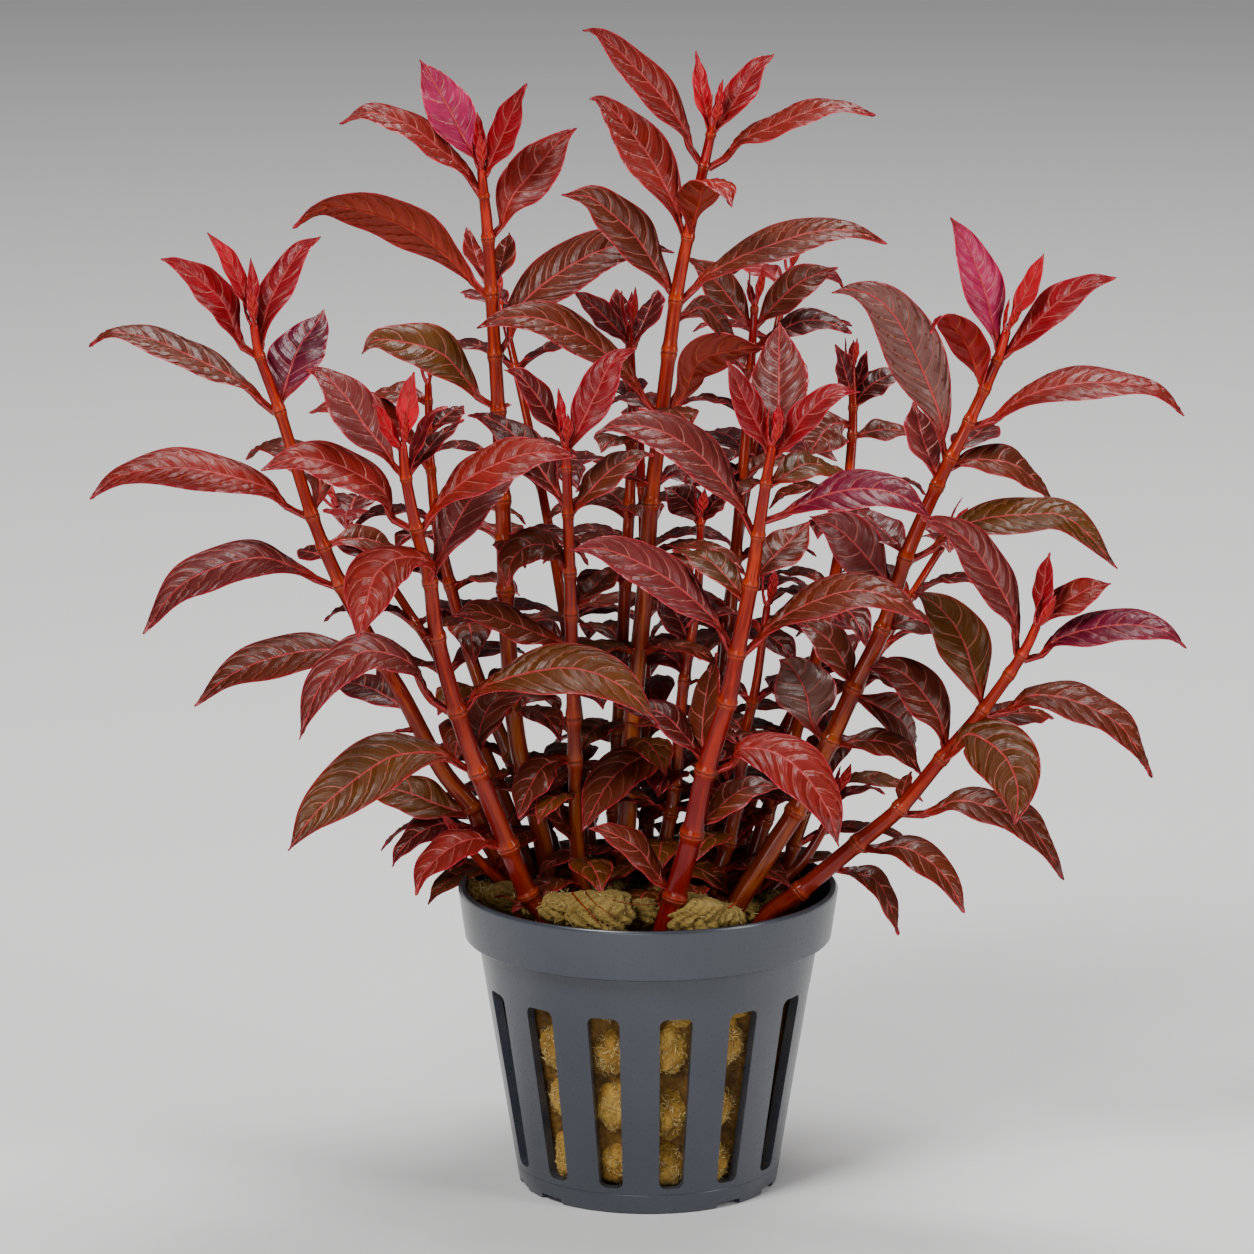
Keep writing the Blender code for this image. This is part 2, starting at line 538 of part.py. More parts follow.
def nearest_share(line, pixel):
    """The share of a stem's length that the photograph shows nearest to a pixel."""
    best = None
    for step in range(201):
        share = step / 200
        centre = stem_place(line, share)[0]
        gap = (view_point(pixel, centre.y) - centre).length
        if best is None or gap < best[0]:
            best = (gap, share)
    return best[1]


def leaf_width(share):
    """The blade's outline: its half width at a share of the leaf's length, from 0 to 1."""
    t = (share - PETIOLE_SHARE) / (1 - PETIOLE_SHARE)
    if t <= 0:
        return 0.0
    swell = TIP_SHARPNESS * BROADEST_AT / (1 - BROADEST_AT)
    return (t / BROADEST_AT) ** swell * ((1 - t) / (1 - BROADEST_AT)) ** TIP_SHARPNESS


def photo_leaf(line, leaf, shift):
    """A leaf's spine and face directions, so that the photograph shows it where it is."""
    centre, heading, radius = stem_place(line, nearest_share(line, leaf.base))
    side = 1 if leaf.tip[0] < leaf.base[0] else -1
    pixels = list(leaf.via) + [leaf.tip]
    if not leaf.via:
        rise = STRAIGHT_LEAF_RISE * abs(leaf.tip[0] - leaf.base[0])
        middle = ((leaf.base[0] + leaf.tip[0]) / 2, (leaf.base[1] + leaf.tip[1]) / 2 - rise)
        pixels = [middle, leaf.tip]
    lengths = [0.0]
    before = leaf.base
    for pixel in pixels:
        lengths.append(lengths[-1] + math.hypot(pixel[0] - before[0], pixel[1] - before[1]))
        before = pixel
    out = (leaf.out + shift) * MM
    points = [centre + Vector((side, 0, 0)) * ROOT_OVERLAP * radius]
    for pixel, length in zip(pixels, lengths[1:]):
        points.append(view_point(pixel, centre.y + out * (length / lengths[-1]) ** OUTWARD_CURVE))
    if leaf.own:
        away = square_to(points[1] - centre, heading)
        clear = radius + GAP + OWN_LEAF_STANDOFF
        points[0] = centre + away * clear
        if (points[1] - centre).dot(away) < clear + GAP:
            points[1] = points[1] + away * (radius + GAP)
    spine = curve_through(points, SPINE_SAMPLES)
    scale = PIXELS_PER_TANGENT / (spine[len(spine) // 2] - EYE).length
    roll = math.acos(min(1.0, leaf.seen / (leaf.wide * MM * scale)))
    if leaf.under:
        roll = math.pi - roll
    middle = SPINE_SAMPLES // 2
    along = direction(spine, middle)
    to_eye = square_to((EYE - spine[middle]).normalized(), along)
    face = to_eye * math.cos(roll) + along.cross(to_eye) * side * math.sin(roll)
    petiole = PETIOLE_HALF_WIDTH if leaf.own else grown_petiole(radius)
    keel = LEAF_KEEL if leaf.own else petiole * KEEL_PER_PETIOLE
    return Shape(spine, untwisted_faces(spine, face, middle), leaf.wide * MM / 2, petiole, keel)


def grown_petiole(stem_radius):
    """A petiole's half width, narrow enough to start inside its stem."""
    return min(PETIOLE_HALF_WIDTH, stem_radius * PETIOLE_PER_STEM)


def square_to(vector, axis):
    """The part of a vector that is square to an axis, at unit length."""
    return (vector - axis * vector.dot(axis)).normalized()


def untwisted_faces(spine, face, start):
    """Face directions along a spine that turn with it but never twist about it."""
    faces = [face] * len(spine)
    for index in range(start + 1, len(spine)):
        faces[index] = square_to(faces[index - 1], direction(spine, index))
    for index in range(start - 1, -1, -1):
        faces[index] = square_to(faces[index + 1], direction(spine, index))
    return faces


def habit_leaf(line, share, turn, length, wide):
    """A leaf that rises from its stem and arches over, in the direction of turn."""
    outward = Vector((math.cos(turn), math.sin(turn), 0))
    upward = Vector((0, 0, 1))
    centre, _, radius = stem_place(line, share)
    petiole = grown_petiole(radius)
    climb = FOOT_CLIMB + (TOP_CLIMB - FOOT_CLIMB) * share
    spine = [centre - outward * ROOT_OVERLAP * radius]
    faces = []
    step = length * MM / SPINE_SAMPLES
    for index in range(SPINE_SAMPLES + 1):
        angle = climb - LEAF_DROOP * index / SPINE_SAMPLES
        faces.append(upward * math.cos(angle) - outward * math.sin(angle))
        if index < SPINE_SAMPLES:
            along = outward * math.cos(angle) + upward * math.sin(angle)
            spine.append(spine[-1] + along * step)
    return Shape(spine, faces, wide * MM / 2, petiole, petiole * KEEL_PER_PETIOLE)


def direction(spine, index):
    before = spine[max(0, index - 1)]
    after = spine[min(len(spine) - 1, index + 1)]
    return (after - before).normalized()


def leaf_solid(shape, sections, spare=0.0):
    """A leaf as a closed loft: two edges and a keel under the midrib, to a pointed tip."""
    spine = shape.spine
    faces = shape.faces
    work = bmesh.new()
    rings = []
    for share in sections:
        index = round(share * SPINE_SAMPLES)
        along = direction(spine, index)
        across = along.cross(faces[index]).normalized()
        half = max(shape.petiole, shape.half_width * leaf_width(share)) + spare
        keel = shape.keel * (1 - KEEL_FADE * share) + spare
        middle = spine[index]
        top = faces[index] * spare
        rings.append([
            work.verts.new(middle + across * half + top),
            work.verts.new(middle - faces[index] * keel),
            work.verts.new(middle - across * half + top)])
    tip = work.verts.new(spine[-1])
    work.faces.new(rings[0])
    for ring, following in zip(rings, rings[1:]):
        for corner in range(3):
            beside = (corner + 1) % 3
            work.faces.new((ring[corner], ring[beside], following[beside], following[corner]))
    for corner in range(3):
        work.faces.new((rings[-1][corner], rings[-1][(corner + 1) % 3], tip))
    bmesh.ops.triangulate(work, faces=[face for face in work.faces if len(face.verts) > 3])
    bmesh.ops.recalc_face_normals(work, faces=work.faces)
    mesh = bpy.data.meshes.new("leaf")
    work.to_mesh(mesh)
    work.free()
    return mesh


def tree_of(mesh):
    corners = [vertex.co for vertex in mesh.vertices]
    return BVHTree.FromPolygons(corners, [tuple(face.vertices) for face in mesh.polygons])


def tube_object(name, line, collection, extra=0.0):
    """A stem: a curve bevelled to its radii, with its ends closed."""
    points, radii = line
    curve = bpy.data.curves.new(name, "CURVE")
    curve.dimensions = "3D"
    curve.bevel_depth = 1.0
    curve.bevel_resolution = 1 if max(radii) > THIN_STEM else 0
    curve.use_fill_caps = True
    spline = curve.splines.new("POLY")
    spline.points.add(len(points) - 1)
    for knot, point, radius in zip(spline.points, points, radii):
        knot.co = (point.x, point.y, point.z, 1.0)
        knot.radius = radius + extra
    thing = bpy.data.objects.new(name, curve)
    collection.objects.link(thing)
    return thing


def tube_mesh(name, line, collection, extra=0.0):
    tube = tube_object(name, line, collection, extra)
    mesh = evaluated_mesh(tube)
    weld(mesh)
    bpy.data.objects.remove(tube, do_unlink=True)
    return mesh


def clear_of(trial, placed):
    """Whether a trial leaf crosses no other node and no blade of its own node."""
    for standing in placed:
        if standing.owner != trial.owner:
            if trial.whole.overlap(standing.whole):
                return False
        elif standing.blade and trial.blade.overlap(standing.blade):
            return False
    return True


def sections_of(shape, own=False):
    """Where a leaf has its sections: fewest on the narrow ones."""
    if own:
        return OWN_SECTIONS
    if shape.half_width < SLIM_LEAF:
        return SLIM_SECTIONS
    return SMALL_SECTIONS if shape.half_width < SMALL_LEAF else GROWN_SECTIONS


def settle(owner, trials, placed, stem=None, own=False):
    """The first of the trial shapes that is clear of every other node.

    Where its stem is given, a leaf with a node of its own is clear of it from end to end,
    and a leaf that grows from it is clear of it past the petiole.
    """
    for shape in trials:
        sections = sections_of(shape, own)
        free = leaf_solid(shape, sections if own else sections[1:])
        if stem and tree_of(free).overlap(stem):
            continue
        whole = tree_of(leaf_solid(shape, sections, SPARE_ROOM))
        blade = tree_of(leaf_solid(shape, sections[1:], SPARE_ROOM))
        trial = Placed(owner, whole, blade)
        if clear_of(trial, placed):
            placed.append(trial)
            return shape
    return None


def photo_trials(line, leaf):
    for shift in PHOTO_SHIFTS:
        yield photo_leaf(line, leaf, shift)


def habit_trials(line, share, turn, length, wide):
    for shorter in HABIT_LENGTHS:
        for extra in HABIT_TURNS:
            swing = math.radians(turn + extra)
            yield habit_leaf(line, share, swing, length * shorter, wide * shorter ** 0.5)


def grow_pairs(name, line, pairs, placed, stem):
    """The leaf pairs of one stem, each a quarter turn from the pair below."""
    shapes = []
    for number, share in enumerate(pairs.places):
        along = number / max(1, len(pairs.places) - 1)
        length = pairs.longest + (pairs.shortest - pairs.longest) * along
        for opposite in (0, ACROSS_THE_STEM):
            turn = pairs.first_turn + QUARTER_TURN * number + opposite
            trials = habit_trials(line, share, turn, length, pairs.wide)
            shape = settle(name + "_stem", trials, placed, stem)
            if shape:
                shapes.append(shape)
    return shapes


def fuse(stem_mesh, shapes, growth):
    """One closed body of a stem and the leaves that stay fused to it."""
    body = bpy.data.objects.new("body", stem_mesh)
    growth.objects.link(body)
    operands = bpy.data.collections.new("operands")
    growth.children.link(operands)
    for shape in shapes:
        blade = bpy.data.objects.new("blade", leaf_solid(shape, sections_of(shape)))
        operands.objects.link(blade)
    union = body.modifiers.new("grown_on", "BOOLEAN")
    union.operation = "UNION"
    union.operand_type = "COLLECTION"
    union.collection = operands
    union.solver = "EXACT"
    mesh = evaluated_mesh(body)
    for thing in list(operands.objects) + [body]:
        bpy.data.objects.remove(thing, do_unlink=True)
    bpy.data.collections.remove(operands)
    return mesh


def turned(name, profile, segments, collection, material=None):
    """A turned solid from a profile of (radius, height) pairs that starts and ends on the axis."""
    mesh = bpy.data.meshes.new(name)
    edges = [(index, index + 1) for index in range(len(profile) - 1)]
    mesh.from_pydata([(radius, 0, height) for radius, height in profile], edges, [])
    thing = new_object(name, mesh, collection, material)
    screw = thing.modifiers.new("turn", "SCREW")
    screw.steps = segments
    screw.render_steps = segments
    screw.use_merge_vertices = True
    screw.merge_threshold = WELD
    screw.use_smooth_shade = True
    return thing


def pot_profile():
    """The pot's inside from the floor up, over the rim, down its outside and under the base."""
    floor = FLOOR_UNDERSIDE + POT_WALL
    return [
        (0.0, floor),
        (BASE_RADIUS - POT_WALL + FLOOR_FILLET, floor),
        (BODY_TOP_RADIUS - POT_WALL, COLLAR_FOOT),
        (COLLAR_FOOT_RADIUS - POT_WALL, COLLAR_FOOT + COLLAR_STEP),
        (RIM_RADIUS - POT_WALL, RIM_TOP - RIM_EDGE),
        (RIM_RADIUS - RIM_EDGE, RIM_TOP),
        (RIM_RADIUS, RIM_TOP - RIM_EDGE),
        (COLLAR_FOOT_RADIUS, COLLAR_FOOT),
        (BODY_TOP_RADIUS, COLLAR_FOOT - RIM_EDGE),
        (BASE_RADIUS, 0.0),
        (BASE_RADIUS - POT_WALL, 0.0),
        (BASE_RADIUS - POT_WALL, FLOOR_UNDERSIDE),
        (BOSS_RADIUS, FLOOR_UNDERSIDE),
        (BOSS_RADIUS, 0.0),
        (0.0, 0.0),
    ]


def drain_cutters(collection):
    """Upright prisms that pierce the pot's floor, in a ring around the central boss."""
    work = bmesh.new()
    for number in range(DRAINS):
        turn = math.tau * (number + 0.5) / DRAINS
        place = Vector((
            DRAIN_CIRCLE * math.cos(turn), DRAIN_CIRCLE * math.sin(turn),
            FLOOR_UNDERSIDE + POT_WALL / 2))
        bmesh.ops.create_cone(
            work, cap_ends=True, segments=DRAIN_SIDES, radius1=DRAIN_RADIUS, radius2=DRAIN_RADIUS,
            depth=2 * POT_WALL, matrix=Matrix.Translation(place))
    mesh = bpy.data.meshes.new("drain_cutters")
    work.to_mesh(mesh)
    work.free()
    thing = new_object("drain_cutters", mesh, collection)
    as_cutter(thing)
    return thing


def slot_outline():
    """One slot's outline, seen from outside: a tapered opening with clipped corners."""
    low = SLOT_BOTTOM_WIDTH / 2
    high = SLOT_TOP_WIDTH / 2
    clip = SLOT_CORNER
    return [
        (low - clip, SLOT_BOTTOM), (low, SLOT_BOTTOM + clip),
        (high, SLOT_TOP - clip), (high - clip, SLOT_TOP),
        (clip - high, SLOT_TOP), (-high, SLOT_TOP - clip),
        (-low, SLOT_BOTTOM + clip), (clip - low, SLOT_BOTTOM)]


def slot_cutters(collection):
    """A slot's prism, pointing away from the axis, for each slot of the ring."""
    work = bmesh.new()
    for number in range(SLOTS):
        turn = Matrix.Rotation(FIRST_SLOT_ANGLE + math.tau * number / SLOTS, 4, "Z")
        near = [work.verts.new(turn @ Vector((SLOT_REACH, y, z))) for y, z in slot_outline()]
        far = [work.verts.new(turn @ Vector((RIM_RADIUS, y, z))) for y, z in slot_outline()]
        work.faces.new(near)
        work.faces.new(far)
        for index in range(len(near)):
            beside = (index + 1) % len(near)
            work.faces.new((near[index], near[beside], far[beside], far[index]))
    bmesh.ops.recalc_face_normals(work, faces=work.faces)
    mesh = bpy.data.meshes.new("slot_cutters")
    work.to_mesh(mesh)
    work.free()
    thing = new_object("slot_cutters", mesh, collection)
    as_cutter(thing)
    return thing


def build_pot(parts, cutters, material):
    pot = turned("net_pot", pot_profile(), POT_SEGMENTS, parts, material)
    for cutter in (slot_cutters(cutters), drain_cutters(cutters)):
        cut = pot.modifiers.new(cutter.name, "BOOLEAN")
        cut.operation = "DIFFERENCE"
        cut.solver = "EXACT"
        cut.object = cutter
    return pot


def lump_height(x, y):
    """The rise of the wool's lumpy top above its mean height."""
    waves = math.sin(x / WOOL_WAVE) * math.cos(y / WOOL_WAVE)
    slow = math.cos(x / WOOL_SWELL) * math.cos(y / WOOL_SWELL + 1.0)
    edge = min(1.0, math.hypot(x, y) / WOOL_TOP_RADIUS)
    return WOOL_LUMP * (waves + slow - 1.6 * edge ** 4)


def wool_radius(height):
    """The plug's radius at a height: the pot's inside less a gap, and less what its facets take."""
    share = height / COLLAR_FOOT
    inside = BASE_RADIUS + (BODY_TOP_RADIUS - BASE_RADIUS) * share - POT_WALL
    return inside * math.cos(math.pi / POT_SEGMENTS) - GAP


def build_wool(parts, cutters, lines, material):
    """The plug that fills the pot, with a socket around each planted stem."""
    floor = FLOOR_UNDERSIDE + POT_WALL + GAP
    shoulder = WOOL_TOP - WOOL_SHOULDER
    profile = [(0.0, WOOL_TOP)]
    profile += [(radius, WOOL_TOP) for radius in WOOL_TOP_RINGS]
    profile += [
        (WOOL_TOP_RADIUS, WOOL_TOP), (wool_radius(shoulder), shoulder),
        (wool_radius(floor), floor), (0.0, floor)]
    rough = turned("wool_blank", profile, WOOL_SEGMENTS, cutters)
    mesh = evaluated_mesh(rough)
    weld(mesh)
    bpy.data.objects.remove(rough, do_unlink=True)
    for vertex in mesh.vertices:
        if vertex.co.z > WOOL_TOP - WOOL_SHOULDER / 2:
            vertex.co.z += lump_height(vertex.co.x, vertex.co.y)
    wool = new_object("rockwool", mesh, parts, material)
    sockets = bpy.data.collections.new("sockets")
    cutters.children.link(sockets)
    for name, (points, radii) in lines.items():
        heading = (points[0] - points[1]).normalized()
        above = points[1] + (points[1] - points[0]).normalized() * PLANTED_DEPTH
        short = ([points[0] + heading * GAP, above], radii[:2])
        socket = bpy.data.objects.new(name + "_socket", tube_mesh("socket", short, cutters, GAP))
        sockets.objects.link(socket)
        as_cutter(socket)
    cut = wool.modifiers.new("sockets", "BOOLEAN")
    cut.operation = "DIFFERENCE"
    cut.operand_type = "COLLECTION"
    cut.collection = sockets
    cut.solver = "EXACT"
    return wool


def grow_leaves(lines, placed, stems, own):
    """The leaves that the photograph shows, as (stem name, number, shape): own nodes or fused."""
    shapes = []
    for name, leaves in LEAVES.items():
        for number, leaf in enumerate(leaves, 1):
            if leaf.own != own:
                continue
            node = f"{name}_leaf_{number}" if own else name + "_stem"
            neighbours = [item for item in placed if not own or item.owner != name + "_stem"]
            trials = photo_trials(lines[name], leaf)
            shape = settle(node, trials, neighbours, stems[name] if own else None, own)
            if shape:
                placed.append(neighbours[-1])
                shapes.append((name, number, shape))
    return shapes


def build():
    clear_scene()
    parts = new_collection("potted_ludwigia")
    cutters = new_collection("cutters")
    materials = {name: new_material(name) for name in COLOURS}
    lines = {name: photo_stem(stem) for name, stem in STEMS.items()}
    lines.update({name: rear_stem(shoot) for name, shoot in REAR_SHOOTS.items()})
    build_pot(parts, cutters, materials["pot"])
    build_wool(parts, cutters, lines, materials["wool"])

    placed = []
    stems = {}
    for name, line in lines.items():
        roomy = tube_mesh("roomy", line, cutters, SPARE_ROOM)
        placed.append(Placed(name + "_stem", tree_of(roomy), None))
        stems[name] = tree_of(tube_mesh("stem", line, cutters, GAP / 2))
    for thing in parts.objects:
        placed.append(Placed(thing.name, tree_of(evaluated_mesh(thing)), None))
    grown = {name: [] for name in lines}
    for name, number, shape in grow_leaves(lines, placed, stems, True):
        solid = leaf_solid(shape, OWN_SECTIONS)
        solid.shade_smooth()
        new_object(f"{name}_leaf_{number}", solid, parts, materials["leaf"])
    for name, number, shape in grow_leaves(lines, placed, stems, False):
        grown[name].append(shape)
    for name, pairs in STEM_PAIRS.items():
        grown[name] += grow_pairs(name, lines[name], pairs, placed, stems[name])
    for name, shoot in REAR_SHOOTS.items():
        grown[name] += grow_pairs(name, lines[name], shoot.pairs, placed, stems[name])
    for name, line in lines.items():
        mesh = fuse(tube_mesh(name, line, cutters), grown[name], cutters)
        mesh.shade_smooth()
        new_object(name + "_stem", mesh, parts, materials["stem"])


build()
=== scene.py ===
"""The finished look of the potted ludwigia palustris: fine stems, leaves, net pot and wool.

Everything is in metres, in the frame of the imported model. The stems and the leaves that
face the viewer are placed by pixels of the photograph's 1254 x 1254 frame, with a depth in
millimetres that grows away from the viewer and is 0 at the pot's axis.
"""

import math
from collections import namedtuple

import bmesh
import bpy
import numpy as np
from mathutils import Matrix, Vector
from mathutils.kdtree import KDTree


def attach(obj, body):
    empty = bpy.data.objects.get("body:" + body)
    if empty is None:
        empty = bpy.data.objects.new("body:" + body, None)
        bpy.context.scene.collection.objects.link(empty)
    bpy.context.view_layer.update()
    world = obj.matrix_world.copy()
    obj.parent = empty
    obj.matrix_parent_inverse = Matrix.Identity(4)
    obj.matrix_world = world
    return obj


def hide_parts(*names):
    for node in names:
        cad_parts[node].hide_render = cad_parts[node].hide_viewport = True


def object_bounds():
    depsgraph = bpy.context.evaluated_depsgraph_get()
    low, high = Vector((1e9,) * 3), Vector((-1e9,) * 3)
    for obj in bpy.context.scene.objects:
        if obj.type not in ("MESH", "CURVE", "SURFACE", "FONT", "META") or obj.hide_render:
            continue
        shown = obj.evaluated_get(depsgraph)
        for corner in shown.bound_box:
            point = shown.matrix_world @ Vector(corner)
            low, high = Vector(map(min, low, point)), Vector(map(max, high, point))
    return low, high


MM = 0.001

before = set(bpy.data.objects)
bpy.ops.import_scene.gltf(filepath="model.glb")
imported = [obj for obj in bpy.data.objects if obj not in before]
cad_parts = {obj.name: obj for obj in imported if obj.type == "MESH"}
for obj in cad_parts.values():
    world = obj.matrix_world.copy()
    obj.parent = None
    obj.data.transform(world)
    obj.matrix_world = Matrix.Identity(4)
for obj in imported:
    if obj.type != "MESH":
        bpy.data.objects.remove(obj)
cad_low, cad_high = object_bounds()

# The viewpoint of the photograph
EYE = Vector((-2.9 * MM, -885.3 * MM, 272.9 * MM))
EYE_PITCH = 0.217
PIXELS_PER_TANGENT = 6678.6
FRAME_WIDTH = 1254.0
FRAME_CENTRE = FRAME_WIDTH / 2
SENSOR_WIDTH = 36.0

# The pot
RIM_TOP = 41.8 * MM
RIM_RADIUS = 26.0 * MM
COLLAR_FOOT = 34.7 * MM
COLLAR_FOOT_RADIUS = 25.1 * MM
BODY_TOP_RADIUS = 23.3 * MM
BASE_RADIUS = 17.75 * MM
POT_WALL = 1.2 * MM
FLOOR_UNDERSIDE = 0.9 * MM
BOSS_RADIUS = 3.2 * MM
DRAINS = 4
DRAIN_RADIUS = 2.1 * MM
DRAIN_CIRCLE = 9.0 * MM
DRAIN_SIDES = 24
SLOTS = 14
SLOT_BOTTOM = 3.7 * MM
SLOT_TOP = 28.6 * MM
SLOT_BOTTOM_WIDTH = 3.3 * MM
SLOT_TOP_WIDTH = 4.5 * MM
SLOT_CORNER = 0.95 * MM
CORNER_STEPS = 4
SLOT_REACH = 13.0 * MM
FIRST_SLOT_ANGLE = math.radians(-90 + 9.7)
POT_SEGMENTS = 112
POT_BEVEL = 0.32 * MM
BEVEL_ANGLE = math.radians(50)
WELD_DISTANCE = 0.00001
SEAM_HEIGHT = 2.8 * MM
SEAM_DEPTH = 0.12 * MM
SEAM_HALF = 0.15 * MM
NOTCH_HEIGHT = 0.8 * MM
NOTCH_WIDTH = 4.6 * MM
NOTCH_TAPER = 0.4 * MM
NOTCH_ANGLES = [math.radians(turn - 90) for turn in (-74, -48, 38, 67, 106, 132, 218, 247)]

# The mineral wool plug
WOOL_TOP = 35.5 * MM
PLANTED_DEPTH = 4.0 * MM
ROOT_LEAN = 0.4

# Leaves and stems, as in the solids
PETIOLE_HALF_WIDTH = 0.5 * MM
PETIOLE_SHARE = 0.14
BROADEST_AT = 0.42
TIP_SHARPNESS = 1.25
ROOT_OVERLAP = 0.2
PETIOLE_PER_STEM = 0.5
SPINE_SAMPLES = 24
GAP = 0.3 * MM
OWN_LEAF_STANDOFF = 0.45 * MM
OUTWARD_CURVE = 1.2
STRAIGHT_LEAF_RISE = 0.08
PHOTO_SHIFTS = (0, 2, -2, 4, -4, 6, -6, 9, -9, 12, -12, 15, -15, 18, -18, 22, -22)
HABIT_TURNS = (0, 12, -12, 24, -24, 36, -36, 48, -48)
HABIT_LENGTHS = (1.0, 0.8, 0.62)
TOP_CLIMB = math.radians(52)
FOOT_CLIMB = math.radians(22)
LEAF_DROOP = math.radians(88)
ACROSS_THE_STEM = 171
QUARTER_TURN = 90
STEM_TAPER = 1.4
REAR_TAPER = 0.9
REAR_FOOT_RADIUS = 1.15 * MM
REAR_TOP_RADIUS = 0.5 * MM
REAR_FOOT_HEIGHT = 1.0 * MM
SAME_POINT = 0.02 * MM
CURVE_STEPS = 12
STEM_STEPS = 200
BOW_STEPS = 4

# Fine leaves
LEAF_THICKNESS = 0.22 * MM
KEEL_DEPTH = 0.5 * MM
OWN_LEAF_ROOT = 0.3
WING_REACH = 0.3
WING_WIDTH = 0.73
WING_CURVE = 1.3
LEAF_FOLD = 0.24
LEAF_TWIST = math.radians(9)
FULL_RELIEF = 2.8 * MM
LEAST_RELIEF = 0.6
BLADE_FULLNESS = 1.03
PETIOLE_TAPER = 0.75
THINNING = 0.5
EDGE_SHARPNESS = 6
KEEL_SPREAD = 0.42 * MM
FOLD_FLATTENING = 0.4
EDGE_DROP = 1.15
QUILT = 0.26 * MM
MARGIN_WAVE = 0.2 * MM
MARGIN_WAVES = (2.2, 3.6)
RIB_GROOVE = 0.18 * MM
RIB_SPREAD = 0.14
RIB_FADE = 0.6
TWIST_FROM = 0.3
TIP_CURL = 0.5 * MM
TIP_CURLS = (0.3, 1.0)
CURL_FROM = 0.82
TONE_RANGE = (0.9, 1.1)
LEAST_VEINS = 4.0
VEIN_STEP = 3.1 * MM
VEIN_LEAN = 0.1
VEIN_ARC = 0.12
BUDS = 3
BUD_LENGTH = 5.2 * MM
BUD_HALF_WIDTH = 0.75 * MM
BUD_SPREAD = math.radians(26)
BUD_CLOSING = math.radians(34)
BUD_SWAY = 0.3
BUD_LENGTHS = (0.7, 1.1)

# Where a blade has its points: samples along its spine, then shares of its half width
WIDE_COLUMNS = (-1.0, -0.9, -0.7, -0.5, -0.3, -0.12, 0.0, 0.12, 0.3, 0.5, 0.7, 0.9, 1.0)
PLAIN_COLUMNS = (-1.0, -0.85, -0.55, -0.2, 0.0, 0.2, 0.55, 0.85, 1.0)
FINE_GRID = ([n * 0.625 for n in range(37)] + [23.0, 23.5, 23.9], WIDE_COLUMNS)
PLAIN_GRID = ([*range(24), 23.9], PLAIN_COLUMNS)
SMALL_GRID = ([n * 1.5 for n in range(16)] + [23.9], PLAIN_COLUMNS)

# Fine stems
STALK_SIDES = 14
STALK_STEP = 1.4 * MM
STALK_RIDGE = 0.035
STALK_RIDGES = 4
STALK_FULLNESS = 1.04
STALK_TIP = 0.985
STALK_TIP_SHARE = 0.015
STALK_TIP_NARROWING = 0.8
HEADING_REACH = 0.01
FAR_FROM_JOINTS = 1.0
SWELL = 0.26
SWELL_REACH = 0.6 * MM
CREASE = 0.12
CREASE_REACH = 0.11 * MM
JOINT_OFFSETS = [offset * MM for offset in (-1.1, -0.7, -0.4, -0.2, -0.1, 0, 0.1, 0.2, 0.4, 0.7, 1.1)]
LEAST_JOINT_STEP = 0.05

# Where the photograph shows the joints of the near stems
JOINTS = {
    "left": [(472, 807), (384, 664), (340, 583), (327, 545), (311, 513), (292, 453), (280, 412),
             (260, 357)],
    "front_left": [(528, 893), (508, 846), (478, 771), (457, 711), (437, 637), (430, 582),
                   (416, 528), (406, 478)],
    "tall_left": [(507, 588), (504, 540), (503, 500), (497, 409), (495, 355), (490, 294),
                  (488, 238), (484, 196)],
    "centre_left": [(578, 861), (573, 757), (573, 713), (571, 612), (570, 578), (568, 514),
                    (567, 468)],
    "tall_centre": [(651, 503), (661, 419), (666, 354), (676, 300), (688, 237), (704, 166),
                    (709, 137)],
    "front": [(675, 896), (692, 833), (706, 770), (727, 702), (737, 653), (751, 584), (758, 535),
              (766, 483)],
    "tall_right": [(796, 810), (830, 741), (854, 688), (883, 628), (906, 557), (938, 484),
                   (951, 460), (969, 422), (981, 390), (997, 361)],
    "low_right": [(800, 891), (858, 843), (900, 808), (942, 758), (983, 710), (1008, 674),
                  (1022, 655)],
}

# How amber each stem turns towards its foot, from 0 to 1. The others have REAR_AMBER.
AMBER = {
    "left": 0.55, "front_left": 0.3, "tall_left": 0.8, "centre_left": 0.9, "tall_centre": 0.85,
    "front": 0.08, "tall_right": 0.8, "low_right": 0.3, "back_centre": 0.9, "far_right": 0.6}
REAR_AMBER = 0.85
AMBER_FADE = (0.25, 0.75)

# A stem's colour as a screen shows it, at shares of its height. The foot colour and the lowest stop
# are lightened as painted light, against the shade low in the plant.
STEM_RAMP = (
    (0.14, (134, 22, 12)), (0.36, (148, 22, 8)), (0.6, (172, 42, 4)), (0.82, (190, 56, 6)))
STEM_FOOT_COLOUR = (122, 32, 12)
STEM_TOP_COLOUR = (180, 22, 16)
STREAK_LENGTH = 14.0 * MM
FLUSH_REACH = 2.6 * MM

# The tone of each leaf in LEAVES, in the same order
TONE_LETTERS = {
    "c": "crimson", "k": "magenta", "s": "salmon", "r": "red", "m": "purple", "l": "lilac_sheen",
    "b": "burgundy", "n": "brown", "o": "olive", "d": "dusky_sheen", "t": "scarlet", "w": "wine"}
TONES = {
    "left": "ttccnmrnlnbnbbob",
    "front_left": "ttlcbrrrlrlonor",
    "tall_left": "kctrrrnsnob",
    "centre_left": "wctbnnnnnn",
    "tall_centre": "rtctrrsnnnsn",
    "front": "lcctlmonlonnbrnn",
    "tall_right": "ktccdrnlbollndnnnn",
    "low_right": "crclmnnononnnn",
    "back_centre": "www",
    "back_right": "nnwb",
    "far_right": "wwbnn",
    "back_left": "nbr",
    "inner_centre": "bbbbn",
    "short_left": "b",
}

